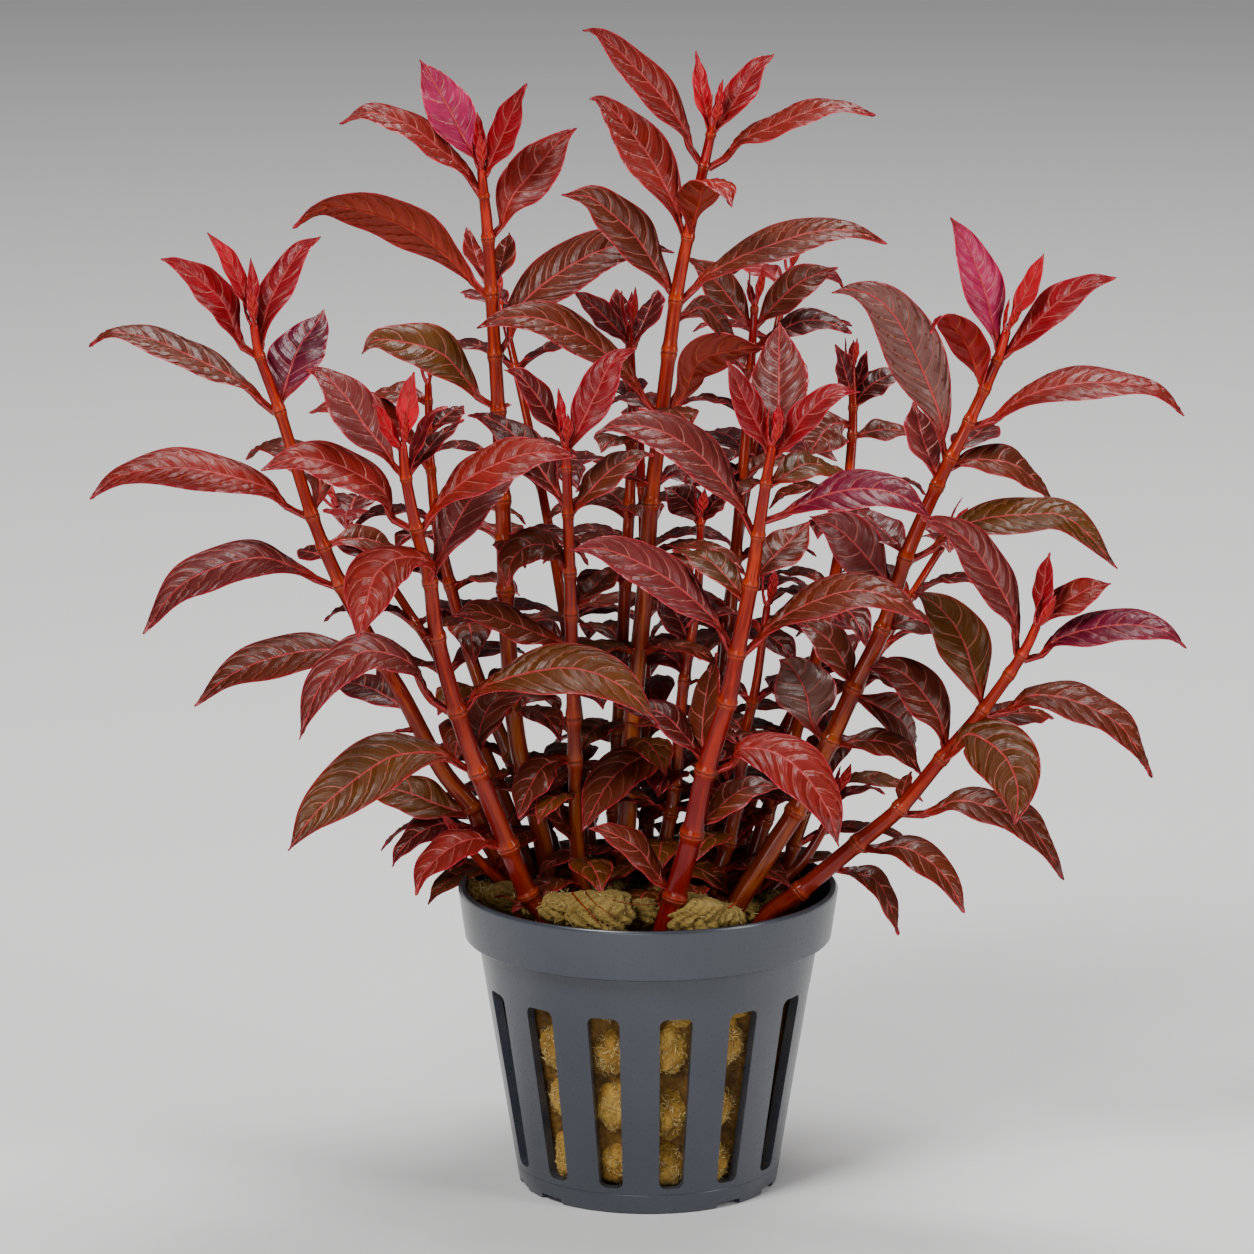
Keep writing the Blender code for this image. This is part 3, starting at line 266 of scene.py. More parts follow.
# Tones of leaves that follow the habit: above a share of the stem's height, one of these
HABIT_TONES = (
    (0.9, ("crimson", "wine")), (0.74, ("burgundy", "wine")), (0.45, ("burgundy", "brown")),
    (0.0, ("brown", "olive")))

# Pairs of small dark leaves that fill the depth of the plant: the values of Pairs, by stem
FILLING = {
    "rear_left": ((0.26, 0.45, 0.66, 0.86), 19, 13, 7.2, 45),
    "rear_mid_left": ((0.22, 0.39, 0.57, 0.75, 0.9), 20, 13, 7.4, 0),
    "rear_mid": ((0.24, 0.43, 0.66, 0.88), 20, 13, 7.4, 45),
    "rear_mid_right": ((0.22, 0.39, 0.57, 0.75, 0.9), 20, 13, 7.4, 15),
    "rear_right": ((0.26, 0.45, 0.66, 0.86), 19, 13, 7.2, 65),
    "rear_low": ((0.32, 0.56, 0.82), 17, 12, 6.8, 65),
    "back_centre": ((0.24, 0.33, 0.41, 0.5, 0.58, 0.66, 0.74), 16, 11, 6.2, 65),
    "back_right": ((0.24, 0.33, 0.41, 0.5, 0.59, 0.67, 0.76), 16, 11, 6.2, 5),
    "far_right": ((0.26, 0.35, 0.43, 0.56, 0.65), 15, 10, 5.8, 75),
    "back_left": ((0.24, 0.33, 0.41, 0.56, 0.64), 16, 11, 6.0, 60),
    "inner_centre": ((0.2, 0.27, 0.34, 0.42, 0.5, 0.58), 14, 11, 6.0, 85),
    "inner_right": ((0.26, 0.35, 0.44, 0.53, 0.62, 0.78), 14, 11, 6.0, 65),
    "tall_left": ((0.24, 0.33, 0.41, 0.49, 0.58), 15, 12, 6.2, 15),
    "tall_centre": ((0.2, 0.28, 0.35, 0.43, 0.52, 0.6), 15, 12, 6.2, 30),
    "centre_left": ((0.24, 0.32, 0.45, 0.58), 14, 11, 5.8, 25),
}
FILLING_ROOM = 1.2 * MM
MARK_REACH = 0.6
MARK_STEP = 2
FILLING_DROOP = math.radians(76)

# The wool's lumps: rings of (height, radius) with one behind each slot, then those on top
TUFT_RINGS = ((7.0 * MM, 4.6 * MM), (14.9 * MM, 4.75 * MM), (23.1 * MM, 4.75 * MM),
              (30.7 * MM, 4.6 * MM))
TOP_TUFTS = [
    ((600, 912), -12, 5.0), ((563, 908), -9, 3.6), ((692, 915), -13, 4.6), ((722, 918), -11, 3.2),
    ((640, 915), -6, 3.8), ((505, 898), -4, 3.6), ((478, 893), 2, 2.8), ((775, 905), 0, 3.2),
    ((745, 912), -5, 3.0), ((535, 905), -6, 3.0), ((660, 900), 3, 4.2), ((610, 893), 4, 4.0)]
REAR_TUFTS = [
    (-14, 9, 33, 4.6), (-8, 14, 33.5, 4.6), (0, 11, 33.5, 5.0), (8, 10, 33, 4.6), (14, 8, 33, 4.4),
    (3, 16, 33, 4.2), (11, 14, 32.5, 4.0), (-3, 4, 33, 5.0), (6, 2, 33, 4.6), (-11, 2, 33, 4.6),
    (13, -1, 33, 4.4)]
TUFT_CLEARANCE = 0.25 * MM
TUFT_SWAY = 0.1
TUFT_LIFT = 0.8
TUFT_SIZES = (0.88, 1.04)
CROWN_SWAY = 0.25
CROWN_DIP = 0.5
FOLD_SHARPNESS = 2.2
FOLD_WANDER = 0.7
FOLD_TURNS = 2.3
WOOL_LUMPS = ((0.08, 1.15 * MM), (0.03, 0.4 * MM))
WALL_CLEARANCE = 0.12 * MM
RIM_CLEARANCE = 0.2 * MM
SIDE_GRID = (40, 22)
TOP_GRID = (84, 28)
REAR_GRID = (40, 20)
SIDE_FOLD_DEPTH = 0.15
TOP_FOLD_DEPTH = 0.2
SIDE_FOLDS = (5, 9)
TOP_FOLDS = (9, 14)
SIDE_LUMPS = 1.25
TOP_LUMPS = 1.5
SIDE_FIBRES = 900
TOP_FIBRES = 110
TOP_FLATNESS = 0.62
FIBRE_OUTWARD = 0.2
FIBRE_ROOT = 0.93
FIBRE_LENGTHS = (0.7, 1.7)
FIBRE_THICKNESS = (0.05, 0.085)
FIBRE_SHADES = (0.3, 1.0)
FIBRE_BENDS = (0.3, 1.2)
FIBRE_STRAIGHTENING = 0.6
FIBRE_TAPER = 0.4
CORE_INSET = (0.4 * MM, 2.1 * MM)
CORE_SIDES = 8 * SLOTS
CORE_TOP = WOOL_TOP - 1.5 * MM
CORE_HEIGHTS = (WOOL_TOP - 1.6 * MM, 26 * MM, 17 * MM, 9 * MM, 3.2 * MM)
CORE_LUMPS = (0.9 * MM, 2.2 * MM)
CORE_LUMPS_ABOVE = 30 * MM

# Loose roots: route as (pixel across, pixel down, depth), radius and shade
ROOTS = [
    ([(572, 893, -13), (580, 902, -15), (592, 915, -17), (603, 928, -17)], 0.14, 0.75),
    ([(584, 890, -12), (595, 903, -16), (616, 918, -17)], 0.1, 0.8),
    ([(490, 900, -6), (503, 896, -8), (518, 903, -9)], 0.22, 0.6),
    ([(612, 900, -16), (640, 905, -17), (668, 902, -16)], 0.09, 0.2),
    ([(728, 908, -14), (737, 903, -14), (744, 909, -13)], 0.18, 0.6),
]
ROOT_SAMPLES = 16
ROOT_SIDES = 6
ROOT_TAPER = 0.6
ROOT_AMBER = 0.3

SEED = 11

# The studio: each light has a name, a place, an aim, a size and a power
FLOOR_COLOUR = (0.78, 0.77, 0.76, 1.0)
FLOOR_SHADE = 0.985
FLOOR_SIZE = 6.0
WORLD_COLOUR = (0.9, 0.93, 1.0, 1.0)
WORLD_STRENGTH = 0.1
LIGHTS = [
    ("key_softbox", (-0.5, -0.7, 0.95), (0, 0, 0.09), (0.36, 0.36), 12.5),
    ("top_softbox", (0.12, 0.3, 1.05), (0, 0, 0.08), (0.5, 0.4), 11.0),
    ("fill_softbox", (0.85, -0.5, 0.45), (0, 0, 0.08), (0.25, 0.6), 5.5),
    ("low_softbox", (-0.25, -1.1, 0.16), (0, 0, 0.05), (0.5, 0.25), 2.6),
]

# A stem's route in pixels, its depths at both ends and its radii there, in millimetres
Stem = namedtuple("Stem", "route base_depth top_depth base_radius top_radius")

# A leaf's pixels from base to tip, how far its tip lies behind its base and its width, both in
# millimetres, and the width that shows, in pixels. It may show its underside, and it may be a
# node of its own.
Leaf = namedtuple("Leaf", "base via tip out wide seen under own", defaults=(False, False))

# Leaf pairs at shares of a stem's height, with lengths and width in millimetres and a turn
Pairs = namedtuple("Pairs", "places longest shortest wide first_turn")
RearShoot = namedtuple("RearShoot", "base top bow pairs")

# A leaf's middle line with its face directions, then half its width and half its stalk's
Shape = namedtuple("Shape", "spine faces half_width petiole")

# A shape with its tone, its share of the stem's height, its root if it has one, and its grid
Blade = namedtuple("Blade", "shape tone rise root grid")

# Shoots read from the photograph. A route runs from the wool to the shoot's apex.
STEMS = {
    "left": Stem(
        [(515, 888), (485, 835), (472, 807), (441, 768), (405, 700), (384, 664), (340, 583),
         (311, 513), (280, 412), (260, 357), (253, 320)], 5, -4, 1.35, 0.6),
    "front_left": Stem(
        [(550, 922), (528, 893), (508, 846), (478, 771), (457, 711), (437, 637), (430, 582),
         (416, 528), (406, 478), (402, 440)], -8, -24, 1.5, 0.6),
    "tall_left": Stem(
        [(550, 885), (540, 830), (518, 745), (508, 640), (504, 540), (500, 440), (495, 355),
         (488, 238), (484, 196), (481, 165)], 8, 0, 1.4, 0.6),
    "centre_left": Stem(
        [(587, 905), (578, 861), (575, 772), (571, 612), (568, 514), (566, 440)],
        0, -12, 1.2, 0.6),
    "tall_centre": Stem(
        [(620, 900), (625, 855), (633, 716), (645, 590), (651, 503), (661, 419), (676, 300),
         (688, 237), (704, 166), (714, 120)], 4, 2, 1.4, 0.6),
    "front": Stem(
        [(664, 931), (675, 896), (692, 833), (706, 770), (727, 702), (737, 653), (751, 584),
         (758, 535), (766, 483), (773, 440)], -14, -27, 1.6, 0.6),
    "tall_right": Stem(
        [(727, 923), (770, 851), (796, 810), (830, 741), (854, 688), (883, 628), (906, 557),
         (938, 484), (969, 422), (997, 361), (1008, 326)], -8, -8, 1.45, 0.6),
    "low_right": Stem(
        [(762, 921), (800, 891), (858, 843), (900, 808), (942, 758), (983, 710), (1022, 655),
         (1039, 620)], -7, -17, 1.3, 0.6),
    "back_centre": Stem(
        [(612, 870), (622, 650), (632, 440), (630, 322)], 13, 20, 1.15, 0.5),
    "back_right": Stem(
        [(706, 855), (728, 640), (747, 420), (755, 300)], 13, 22, 1.15, 0.5),
    "far_right": Stem(
        [(752, 862), (805, 700), (838, 560), (852, 440), (852, 362)], 9, 24, 1.15, 0.5),
    "back_left": Stem(
        [(560, 866), (486, 700), (444, 560), (431, 470), (428, 378)], 14, 24, 1.15, 0.5),
    "inner_centre": Stem(
        [(650, 905), (664, 848), (676, 778), (683, 690), (697, 600), (701, 512)],
        2, 6, 1.15, 0.5),
    "inner_right": Stem(
        [(703, 910), (717, 876), (734, 820), (745, 736), (756, 686), (768, 600)],
        -2, 2, 1.15, 0.5),
    "short_right": Stem(
        [(768, 900), (784, 880), (804, 860), (824, 827), (838, 790)], 3, 4, 1.0, 0.45),
    "short_left": Stem(
        [(508, 893), (485, 866), (462, 842)], 1, -2, 0.95, 0.45),
}

LEAVES = {
    "left": [
        Leaf((255, 318), (), (251, 258), 0, 2.2, 12),
        Leaf((252, 318), ((232, 265),), (208, 232), -3, 3.4, 18),
        Leaf((257, 355), ((245, 335), (222, 300), (180, 265)), (161, 258), -4, 6.2, 34, own=True),
        Leaf((263, 355), ((265, 315), (275, 290), (300, 250)), (321, 235), 5, 5.6, 30),
        Leaf((272, 415), ((255, 393), (230, 375), (190, 355), (150, 338), (110, 332)), (87, 346),
             2, 7.5, 30, own=True),
        Leaf((284, 411), ((290, 370), (300, 345), (315, 325)), (324, 307), 14, 7.6, 52),
        Leaf((303, 515), ((290, 498), (270, 489), (240, 478), (180, 467), (120, 475)), (88, 499),
             -4, 8.0, 40, own=True),
        Leaf((321, 513), ((320, 480), (300, 455), (270, 443)), (244, 457), 10, 7.4, 35),
        Leaf((338, 585), ((320, 572), (270, 558), (240, 560), (205, 571), (175, 590)), (141, 634),
             -6, 8.0, 40, own=True),
        Leaf((330, 543), ((345, 539), (375, 540)), (409, 560), 8, 6.0, 25),
        Leaf((327, 560), (), (297, 549), 8, 3.5, 20),
        Leaf((384, 664), ((355, 652), (325, 649), (300, 651), (260, 661), (225, 678)), (193, 706),
             -8, 8.2, 42, own=True),
        Leaf((407, 715), ((390, 698), (370, 687), (345, 682)), (332, 690), 8, 6.5, 32),
        Leaf((415, 733), (), (392, 731), 0, 2.0, 6),
        Leaf((467, 821), ((440, 805), (410, 793), (380, 788)), (355, 796), 4, 7.5, 40),
        Leaf((474, 833), ((445, 823), (420, 832), (400, 850)), (390, 866), -4, 5.5, 24),
    ],
    "front_left": [
        Leaf((403, 445), (), (412, 372), -2, 4.0, 22),
        Leaf((400, 455), (), (374, 403), -6, 3.4, 14),
        Leaf((401, 477), ((385, 450), (365, 425), (345, 395), (320, 371)), (304, 369),
             6, 7.0, 48, own=True),
        Leaf((411, 477), ((418, 440), (430, 415)), (448, 405), 3, 4.0, 12),
        Leaf((413, 478), ((435, 440),), (464, 418), 8, 4.5, 18),
        Leaf((410, 528), ((400, 515), (385, 492), (360, 475), (330, 462), (295, 457)), (260, 470),
             -4, 7.5, 38, own=True),
        Leaf((428, 582), ((427, 560), (400, 557), (375, 575), (365, 610)), (357, 640),
             -14, 7.8, 50, own=True),
        Leaf((422, 528), ((435, 507), (465, 480), (500, 462), (535, 452)), (577, 455),
             -2, 8.0, 40, own=True),
        Leaf((437, 582), ((445, 545), (470, 500), (500, 475)), (535, 457), 12, 7.8, 45),
        Leaf((432, 637), (), (418, 628), -2, 2.5, 8),
        Leaf((450, 711), ((435, 685), (410, 662), (370, 650), (345, 662), (320, 685)), (298, 740),
             -10, 8.0, 38, own=True),
        Leaf((464, 713), ((472, 697), (490, 684), (530, 672), (575, 668), (620, 685)), (661, 724),
             -6, 8.4, 50, own=True),
        Leaf((481, 768), ((478, 735), (488, 708), (505, 695)), (535, 688), 12, 7.5, 35),
        Leaf((471, 775), ((455, 762), (440, 753), (410, 753), (380, 762), (320, 808)), (287, 851),
             -8, 8.6, 58, own=True),
        Leaf((506, 850), ((490, 843), (480, 838), (460, 842), (440, 855), (422, 875)), (414, 895),
             -8, 7.2, 34),
    ],
    "tall_left": [
        Leaf((477, 165), ((465, 140), (450, 110), (430, 75)), (420, 58), 4, 6.4, 46),
        Leaf((488, 180), ((500, 140), (515, 105)), (526, 83), -4, 5.4, 30),
        Leaf((481, 165), (), (478, 112), 0, 2.4, 12),
        Leaf((478, 198), ((465, 170), (440, 148), (410, 125), (370, 112)), (338, 122), -4, 6.5, 26),
        Leaf((495, 238), ((510, 200), (530, 175), (560, 140)), (577, 127), 4, 6.8, 48, own=True),
        Leaf((486, 292), (), (468, 226), 8, 5.0, 20),
        Leaf((496, 292), (), (508, 231), 8, 5.0, 22),
        Leaf((482, 297), ((468, 275), (440, 248), (400, 222), (350, 207), (320, 208)), (290, 227),
             -6, 7.6, 44, under=True, own=True),
        Leaf((505, 355), ((512, 325), (520, 305), (555, 275), (600, 250), (640, 243)), (676, 252),
             4, 8.0, 50, own=True),
        Leaf((488, 408), ((465, 378), (440, 352), (400, 341), (375, 340)), (361, 354),
             -4, 7.6, 46, own=True),
        Leaf((500, 409), (), (512, 404), 0, 1.5, 5),
    ],
    "centre_left": [
        Leaf((563, 440), ((555, 425), (540, 400), (520, 375)), (505, 368), -3, 5.2, 28),
        Leaf((570, 455), ((578, 430), (595, 395), (612, 362)), (637, 346), 3, 5.4, 38),
        Leaf((564, 440), (), (559, 388), 0, 2.2, 10),
        Leaf((561, 512), ((545, 475), (520, 440), (490, 418)), (467, 414), 16, 6.5, 38),
        Leaf((574, 515), ((590, 490), (610, 470), (635, 455)), (655, 452), 4, 6.5, 30),
        Leaf((566, 577), ((555, 548), (530, 545), (512, 560)), (506, 587), -6, 6.5, 34),
        Leaf((577, 610), ((590, 590),), (620, 560), 8, 6.0, 26),
        Leaf((551, 646), ((510, 622), (480, 612)), (453, 615), -8, 7.0, 30),
        Leaf((566, 757), ((545, 765), (528, 790)), (517, 818), -6, 6.5, 36),
        Leaf((573, 853), ((566, 825), (552, 808), (535, 808)), (520, 817), -4, 4.5, 20),
    ],
    "tall_centre": [
        Leaf((697, 163), ((685, 130), (665, 100), (640, 72), (600, 33)), (582, 29),
             -3, 6.6, 36, own=True),
        Leaf((707, 135), (), (697, 50), 2, 3.4, 17),
        Leaf((713, 137), ((735, 100), (755, 68)), (774, 52), 4, 5.0, 28),
        Leaf((716, 120), (), (722, 79), 0, 1.8, 8),
        Leaf((710, 167), ((720, 152), (740, 140), (770, 127), (800, 114), (830, 106)), (877, 112),
             -2, 7.0, 24, own=True),
        Leaf((682, 236), ((678, 215), (665, 185), (645, 150), (605, 102)), (588, 97),
             5, 7.4, 46, own=True),
        Leaf((693, 236), ((696, 205), (704, 182), (722, 186)), (733, 206), -12, 7.0, 40, under=True),
        Leaf((668, 300), ((655, 265), (635, 235), (610, 212), (590, 197)), (561, 194), -4, 7.6, 44),
        Leaf((685, 303), ((700, 280), (720, 267), (750, 252), (810, 232), (850, 230)), (889, 242),
             0, 7.6, 34, own=True),
        Leaf((650, 413), ((640, 390), (620, 365), (580, 335), (540, 318), (500, 318)), (476, 327),
             -8, 7.6, 34, own=True),
        Leaf((669, 421), ((680, 395), (697, 360), (730, 350)), (762, 346), 8, 7.0, 36, under=True),
        Leaf((676, 325), ((690, 312), (708, 310)), (742, 352), 10, 4.5, 20),
    ],
    "front": [
        Leaf((779, 462), ((778, 410),), (779, 320), 10, 7.9, 57, own=True),
        Leaf((770, 460), ((760, 430), (745, 400)), (728, 360), -4, 5.0, 30),
        Leaf((777, 462), ((788, 440), (805, 415), (835, 392)), (861, 390), 0, 5.2, 30),
        Leaf((775, 440), (), (779, 404), -2, 2.0, 12),
        Leaf((751, 534), ((745, 515), (730, 490), (700, 455), (660, 430), (620, 425)), (594, 433),
             -2, 7.9, 44, own=True),
        Leaf((774, 521), ((800, 505), (830, 493), (865, 488), (900, 495)), (934, 518),
             -6, 7.2, 38, own=True),
        Leaf((770, 490), ((785, 475), (810, 463)), (850, 473), 6, 6.0, 28),
        Leaf((759, 584), ((765, 565), (785, 545)), (810, 520), 8, 6.5, 40),
        Leaf((733, 652), ((722, 630), (700, 605), (670, 580), (635, 560), (600, 548)), (568, 549),
             -4, 8.0, 44, own=True),
        Leaf((738, 604), ((730, 580), (705, 557)), (672, 548), 8, 6.5, 30),
        Leaf((747, 656), ((765, 630), (800, 607), (850, 590), (890, 597)), (930, 623),
             -4, 8.0, 36, own=True),
        Leaf((700, 764), ((702, 735), (705, 700)), (714, 651), 6, 7.5, 32),
        Leaf((699, 764), ((685, 735), (660, 712)), (615, 703), 4, 7.0, 26),
        Leaf((710, 770), ((722, 757), (740, 748), (775, 752), (805, 775), (828, 810)), (841, 846),
             -10, 8.6, 52, own=True),
        Leaf((703, 837), ((715, 810), (740, 790), (762, 785)), (782, 785), 2, 6.5, 28),
        Leaf((665, 895), ((655, 872), (640, 850), (610, 832)), (589, 827), -2, 6.2, 26),
    ],
    "tall_right": [
        Leaf((993, 354), ((993, 325), (985, 290), (968, 245)), (951, 216), 3, 6.6, 40),
        Leaf((1008, 326), ((1030, 285),), (1043, 253), 0, 4.0, 20),
        Leaf((1002, 362), ((1012, 348), (1035, 323), (1060, 300), (1090, 283)), (1116, 275),
             -2, 6.4, 32),
        Leaf((981, 388), ((972, 350), (955, 325), (940, 317)), (928, 333), -6, 6.4, 36, under=True),
        Leaf((945, 461), ((942, 427), (931, 390), (903, 329), (881, 301), (853, 289)), (830, 292),
             4, 8.0, 58, own=True),
        Leaf((973, 425), ((985, 417), (1027, 395), (1083, 382), (1139, 385), (1167, 396)),
             (1187, 415), -2, 8.0, 34, own=True),
        Leaf((952, 474), ((962, 462), (979, 459), (1012, 463), (1035, 480)), (1055, 504),
             8, 7.0, 30),
        Leaf((931, 478), (), (915, 400), 6, 6.4, 30),
        Leaf((960, 455), (), (990, 420), 12, 6.5, 30),
        Leaf((916, 561), ((940, 540), (956, 528), (985, 518), (1027, 514), (1069, 518)),
             (1120, 568), -4, 8.0, 36, own=True),
        Leaf((902, 552), (), (858, 508), 8, 7.0, 34),
        Leaf((882, 590), ((865, 555), (840, 530)), (811, 516), 0, 7.6, 50),
        Leaf((885, 633), ((905, 620), (925, 622)), (942, 643), 4, 6.5, 26),
        Leaf((827, 743), ((811, 720), (805, 690), (790, 665)), (778, 658), 10, 8.3, 60, own=True),
        Leaf((844, 750), ((870, 740), (900, 748)), (923, 775), -4, 6.2, 26),
        Leaf((846, 686), ((840, 655), (820, 632)), (796, 622), 2, 7.0, 34),
        Leaf((868, 699), ((895, 715), (912, 735)), (917, 758), 8, 7.0, 36),
        Leaf((862, 697), ((872, 670), (890, 676)), (935, 690), 6, 6.0, 20),
    ],
    "low_right": [
        Leaf((1038, 626), (), (1048, 552), 0, 4.0, 20),
        Leaf((1041, 627), ((1060, 605), (1090, 588)), (1112, 582), 3, 5.5, 32),
        Leaf((1045, 615), (), (1066, 584), 2, 1.2, 4),
        Leaf((1017, 655), ((1016, 637), (1010, 606), (973, 547), (942, 522)), (920, 518),
             -3, 7.2, 42, own=True),
        Leaf((1025, 660), ((1035, 650), (1055, 640), (1083, 630), (1125, 624), (1167, 631)),
             (1189, 647), -4, 7.2, 34, own=True),
        Leaf((987, 715), ((1007, 702), (1029, 695), (1063, 697), (1097, 710), (1125, 730)),
             (1154, 778), -6, 8.0, 38, own=True),
        Leaf((982, 737), ((1000, 715), (1030, 712)), (1055, 717), 10, 6.0, 24),
        Leaf((975, 704), ((973, 671), (965, 645), (951, 620), (928, 598)), (913, 591), 6, 7.8, 52),
        Leaf((941, 752), ((940, 719), (928, 699), (911, 679), (892, 668)), (867, 667), 4, 7.4, 42),
        Leaf((946, 762), ((955, 745), (969, 733), (998, 749), (1012, 769), (1018, 794)),
             (1014, 824), -14, 8.5, 62, own=True),
        Leaf((903, 814), ((928, 803), (956, 800), (984, 804), (1012, 814), (1035, 831)),
             (1066, 880), -4, 7.8, 34, own=True),
        Leaf((861, 856), ((878, 848), (900, 846), (923, 856), (945, 876)), (966, 913), -4, 7.0, 30),
        Leaf((838, 874), ((858, 873), (880, 884)), (901, 935), -2, 5.6, 22),
        Leaf((898, 806), (), (910, 770), 2, 3.5, 14),
    ],
    "back_centre": [
        Leaf((630, 345), (), (573, 290), -2, 4.5, 24),
        Leaf((630, 350), (), (618, 287), 6, 6.0, 26),
        Leaf((634, 350), (), (657, 288), 6, 6.0, 26),
    ],
    "back_right": [
        Leaf((752, 330), ((720, 285),), (688, 255), 0, 6.5, 36),
        Leaf((756, 330), ((795, 285),), (838, 266), 0, 6.5, 34),
        Leaf((754, 310), (), (748, 280), 0, 1.5, 8),
        Leaf((755, 350), ((790, 325), (820, 320)), (853, 332), -3, 7.0, 24),
    ],
    "far_right": [
        Leaf((853, 400), (), (837, 344), -2, 4.0, 20),
        Leaf((855, 395), (), (866, 350), 2, 3.0, 14),
        Leaf((854, 410), ((870, 385),), (905, 368), 2, 5.5, 28),
        Leaf((851, 425), ((830, 425),), (808, 455), -4, 8.0, 50),
        Leaf((853, 436), (), (915, 432), 2, 5.0, 22),
    ],
    "back_left": [
        Leaf((428, 400), (), (372, 392), 2, 6.0, 22),
        Leaf((429, 430), (), (464, 405), 4, 6.0, 24),
        Leaf((431, 470), ((400, 425), (360, 402)), (308, 411), -2, 7.0, 24),
    ],
    "inner_centre": [
        Leaf((701, 525), ((690, 505),), (665, 485), 2, 6.5, 36),
        Leaf((701, 525), ((712, 505),), (730, 490), 2, 4.5, 20),
        Leaf((690, 650), ((680, 620),), (660, 590), 4, 6.5, 34),
        Leaf((683, 680), ((675, 660), (655, 652)), (618, 665), -2, 5.5, 24),
        Leaf((676, 785), ((658, 753), (615, 775)), (581, 831), -6, 7.6, 42),
    ],
    "short_left": [
        Leaf((470, 850), (), (448, 870), -2, 3.0, 14),
    ],
}

# Leaf pairs that follow the plant's habit where the photograph shows no single leaf.
# Each pair is turned by a quarter turn against the pair below it.
STEM_PAIRS = {
    "tall_left": Pairs((0.33, 0.50), 14, 17, 5.5, 60),
    "centre_left": Pairs((0.45,), 12, 12, 4.8, 70),
    "tall_centre": Pairs((0.26, 0.44), 14, 17, 5.5, 75),
    "back_centre": Pairs((0.33, 0.5, 0.66, 0.82), 18, 12, 6.5, 20),
    "back_right": Pairs((0.32, 0.50, 0.68, 0.84), 18, 12, 6.5, 50),
    "far_right": Pairs((0.52, 0.70), 17, 14, 6.0, 120),
    "back_left": Pairs((0.50, 0.68), 17, 14, 6.0, 105),
    "inner_centre": Pairs((0.28,), 10, 10, 4.5, 40),
    "inner_right": Pairs((0.66, 0.94), 11, 13, 5.0, 110),
    "short_right": Pairs((0.90,), 10, 10, 4.0, 30),
    "short_left": Pairs((0.92,), 8, 8, 3.6, 60),
}

# Shoots behind the others, hidden in the photograph: base and top are places in
# millimetres, bow is how far the middle leans out from the straight line.
REAR_SHOOTS = {
    "rear_left": RearShoot(
        (-15.2, 11.8), (-44, 34, 88), 5, Pairs((0.34, 0.55, 0.76, 0.96), 22, 11, 6.6, 0)),
    "rear_mid_left": RearShoot(
        (-7.5, 16.5), (-21, 45, 116), 5, Pairs((0.32, 0.53, 0.75, 0.97), 24, 11, 7, 45)),
    "rear_mid": RearShoot(
        (0, 18.5), (-1, 56, 96), 6, Pairs((0.32, 0.55, 0.78, 0.97), 24, 11, 7, 0)),
    "rear_mid_right": RearShoot(
        (7.5, 16.5), (20, 44, 120), 5, Pairs((0.32, 0.53, 0.75, 0.97), 24, 11, 7, 60)),
    "rear_right": RearShoot(
        (17.5, 6.5), (43, 36, 84), 5, Pairs((0.34, 0.55, 0.76, 0.96), 22, 11, 6.6, 5)),
    "rear_low": RearShoot(
        (11.2, 11.6), (28, 47, 68), 8, Pairs((0.43, 0.7, 0.93), 20, 11, 6.2, 110)),
}


def view_point(pixel, depth):
    """The place at this depth, in metres, that the photograph shows at this pixel."""
    across = (pixel[0] - FRAME_CENTRE) / PIXELS_PER_TANGENT
    rise = (FRAME_CENTRE - pixel[1]) / PIXELS_PER_TANGENT
    ahead = Vector((0, math.cos(EYE_PITCH), -math.sin(EYE_PITCH)))
    upward = Vector((0, math.sin(EYE_PITCH), math.cos(EYE_PITCH)))
    ray = ahead + Vector((1, 0, 0)) * across + upward * rise
    return EYE + ray * ((depth - EYE.y) / ray.y)


def smooth_point(before, start, end, after, t):
    """The point at a share of the way from start to end, on a smooth curve through all four."""
    return 0.5 * (
        start * 2 + (end - before) * t
        + (before * 2 - start * 5 + end * 4 - after) * t ** 2
        + (start * 3 - before - end * 3 + after) * t ** 3)


def curve_through(points, samples):
    """Points spaced evenly by length along a smooth curve through the given ones."""
    ends = [points[0] * 2 - points[1]] + list(points) + [points[-1] * 2 - points[-2]]
    fine = []
    for before, start, end, after in zip(ends, ends[1:], ends[2:], ends[3:]):
        for step in range(CURVE_STEPS):
            fine.append(smooth_point(before, start, end, after, step / CURVE_STEPS))
    fine.append(points[-1].copy())
    lengths = [0.0]
    for here, there in zip(fine, fine[1:]):
        lengths.append(lengths[-1] + (there - here).length)
    even = []
    index = 0
    for sample in range(samples + 1):
        wanted = lengths[-1] * sample / samples
        while index < len(fine) - 2 and lengths[index + 1] < wanted:
            index += 1
        span = lengths[index + 1] - lengths[index]
        share = (wanted - lengths[index]) / span if span else 0.0
        even.append(fine[index].lerp(fine[index + 1], min(1.0, share)))
    return even


def photo_stem(stem):
    """A stem's centre line and radii, from its foot in the wool to its apex."""
    first = stem.route[0][1]
    last = stem.route[-1][1]
    points = []
    for pixel in stem.route:
        risen = (first - pixel[1]) / (first - last)
        depth = stem.base_depth + (stem.top_depth - stem.base_depth) * risen
        points.append(view_point(pixel, depth * MM))
    return finish_stem(points, stem.base_radius * MM, stem.top_radius * MM, STEM_TAPER)


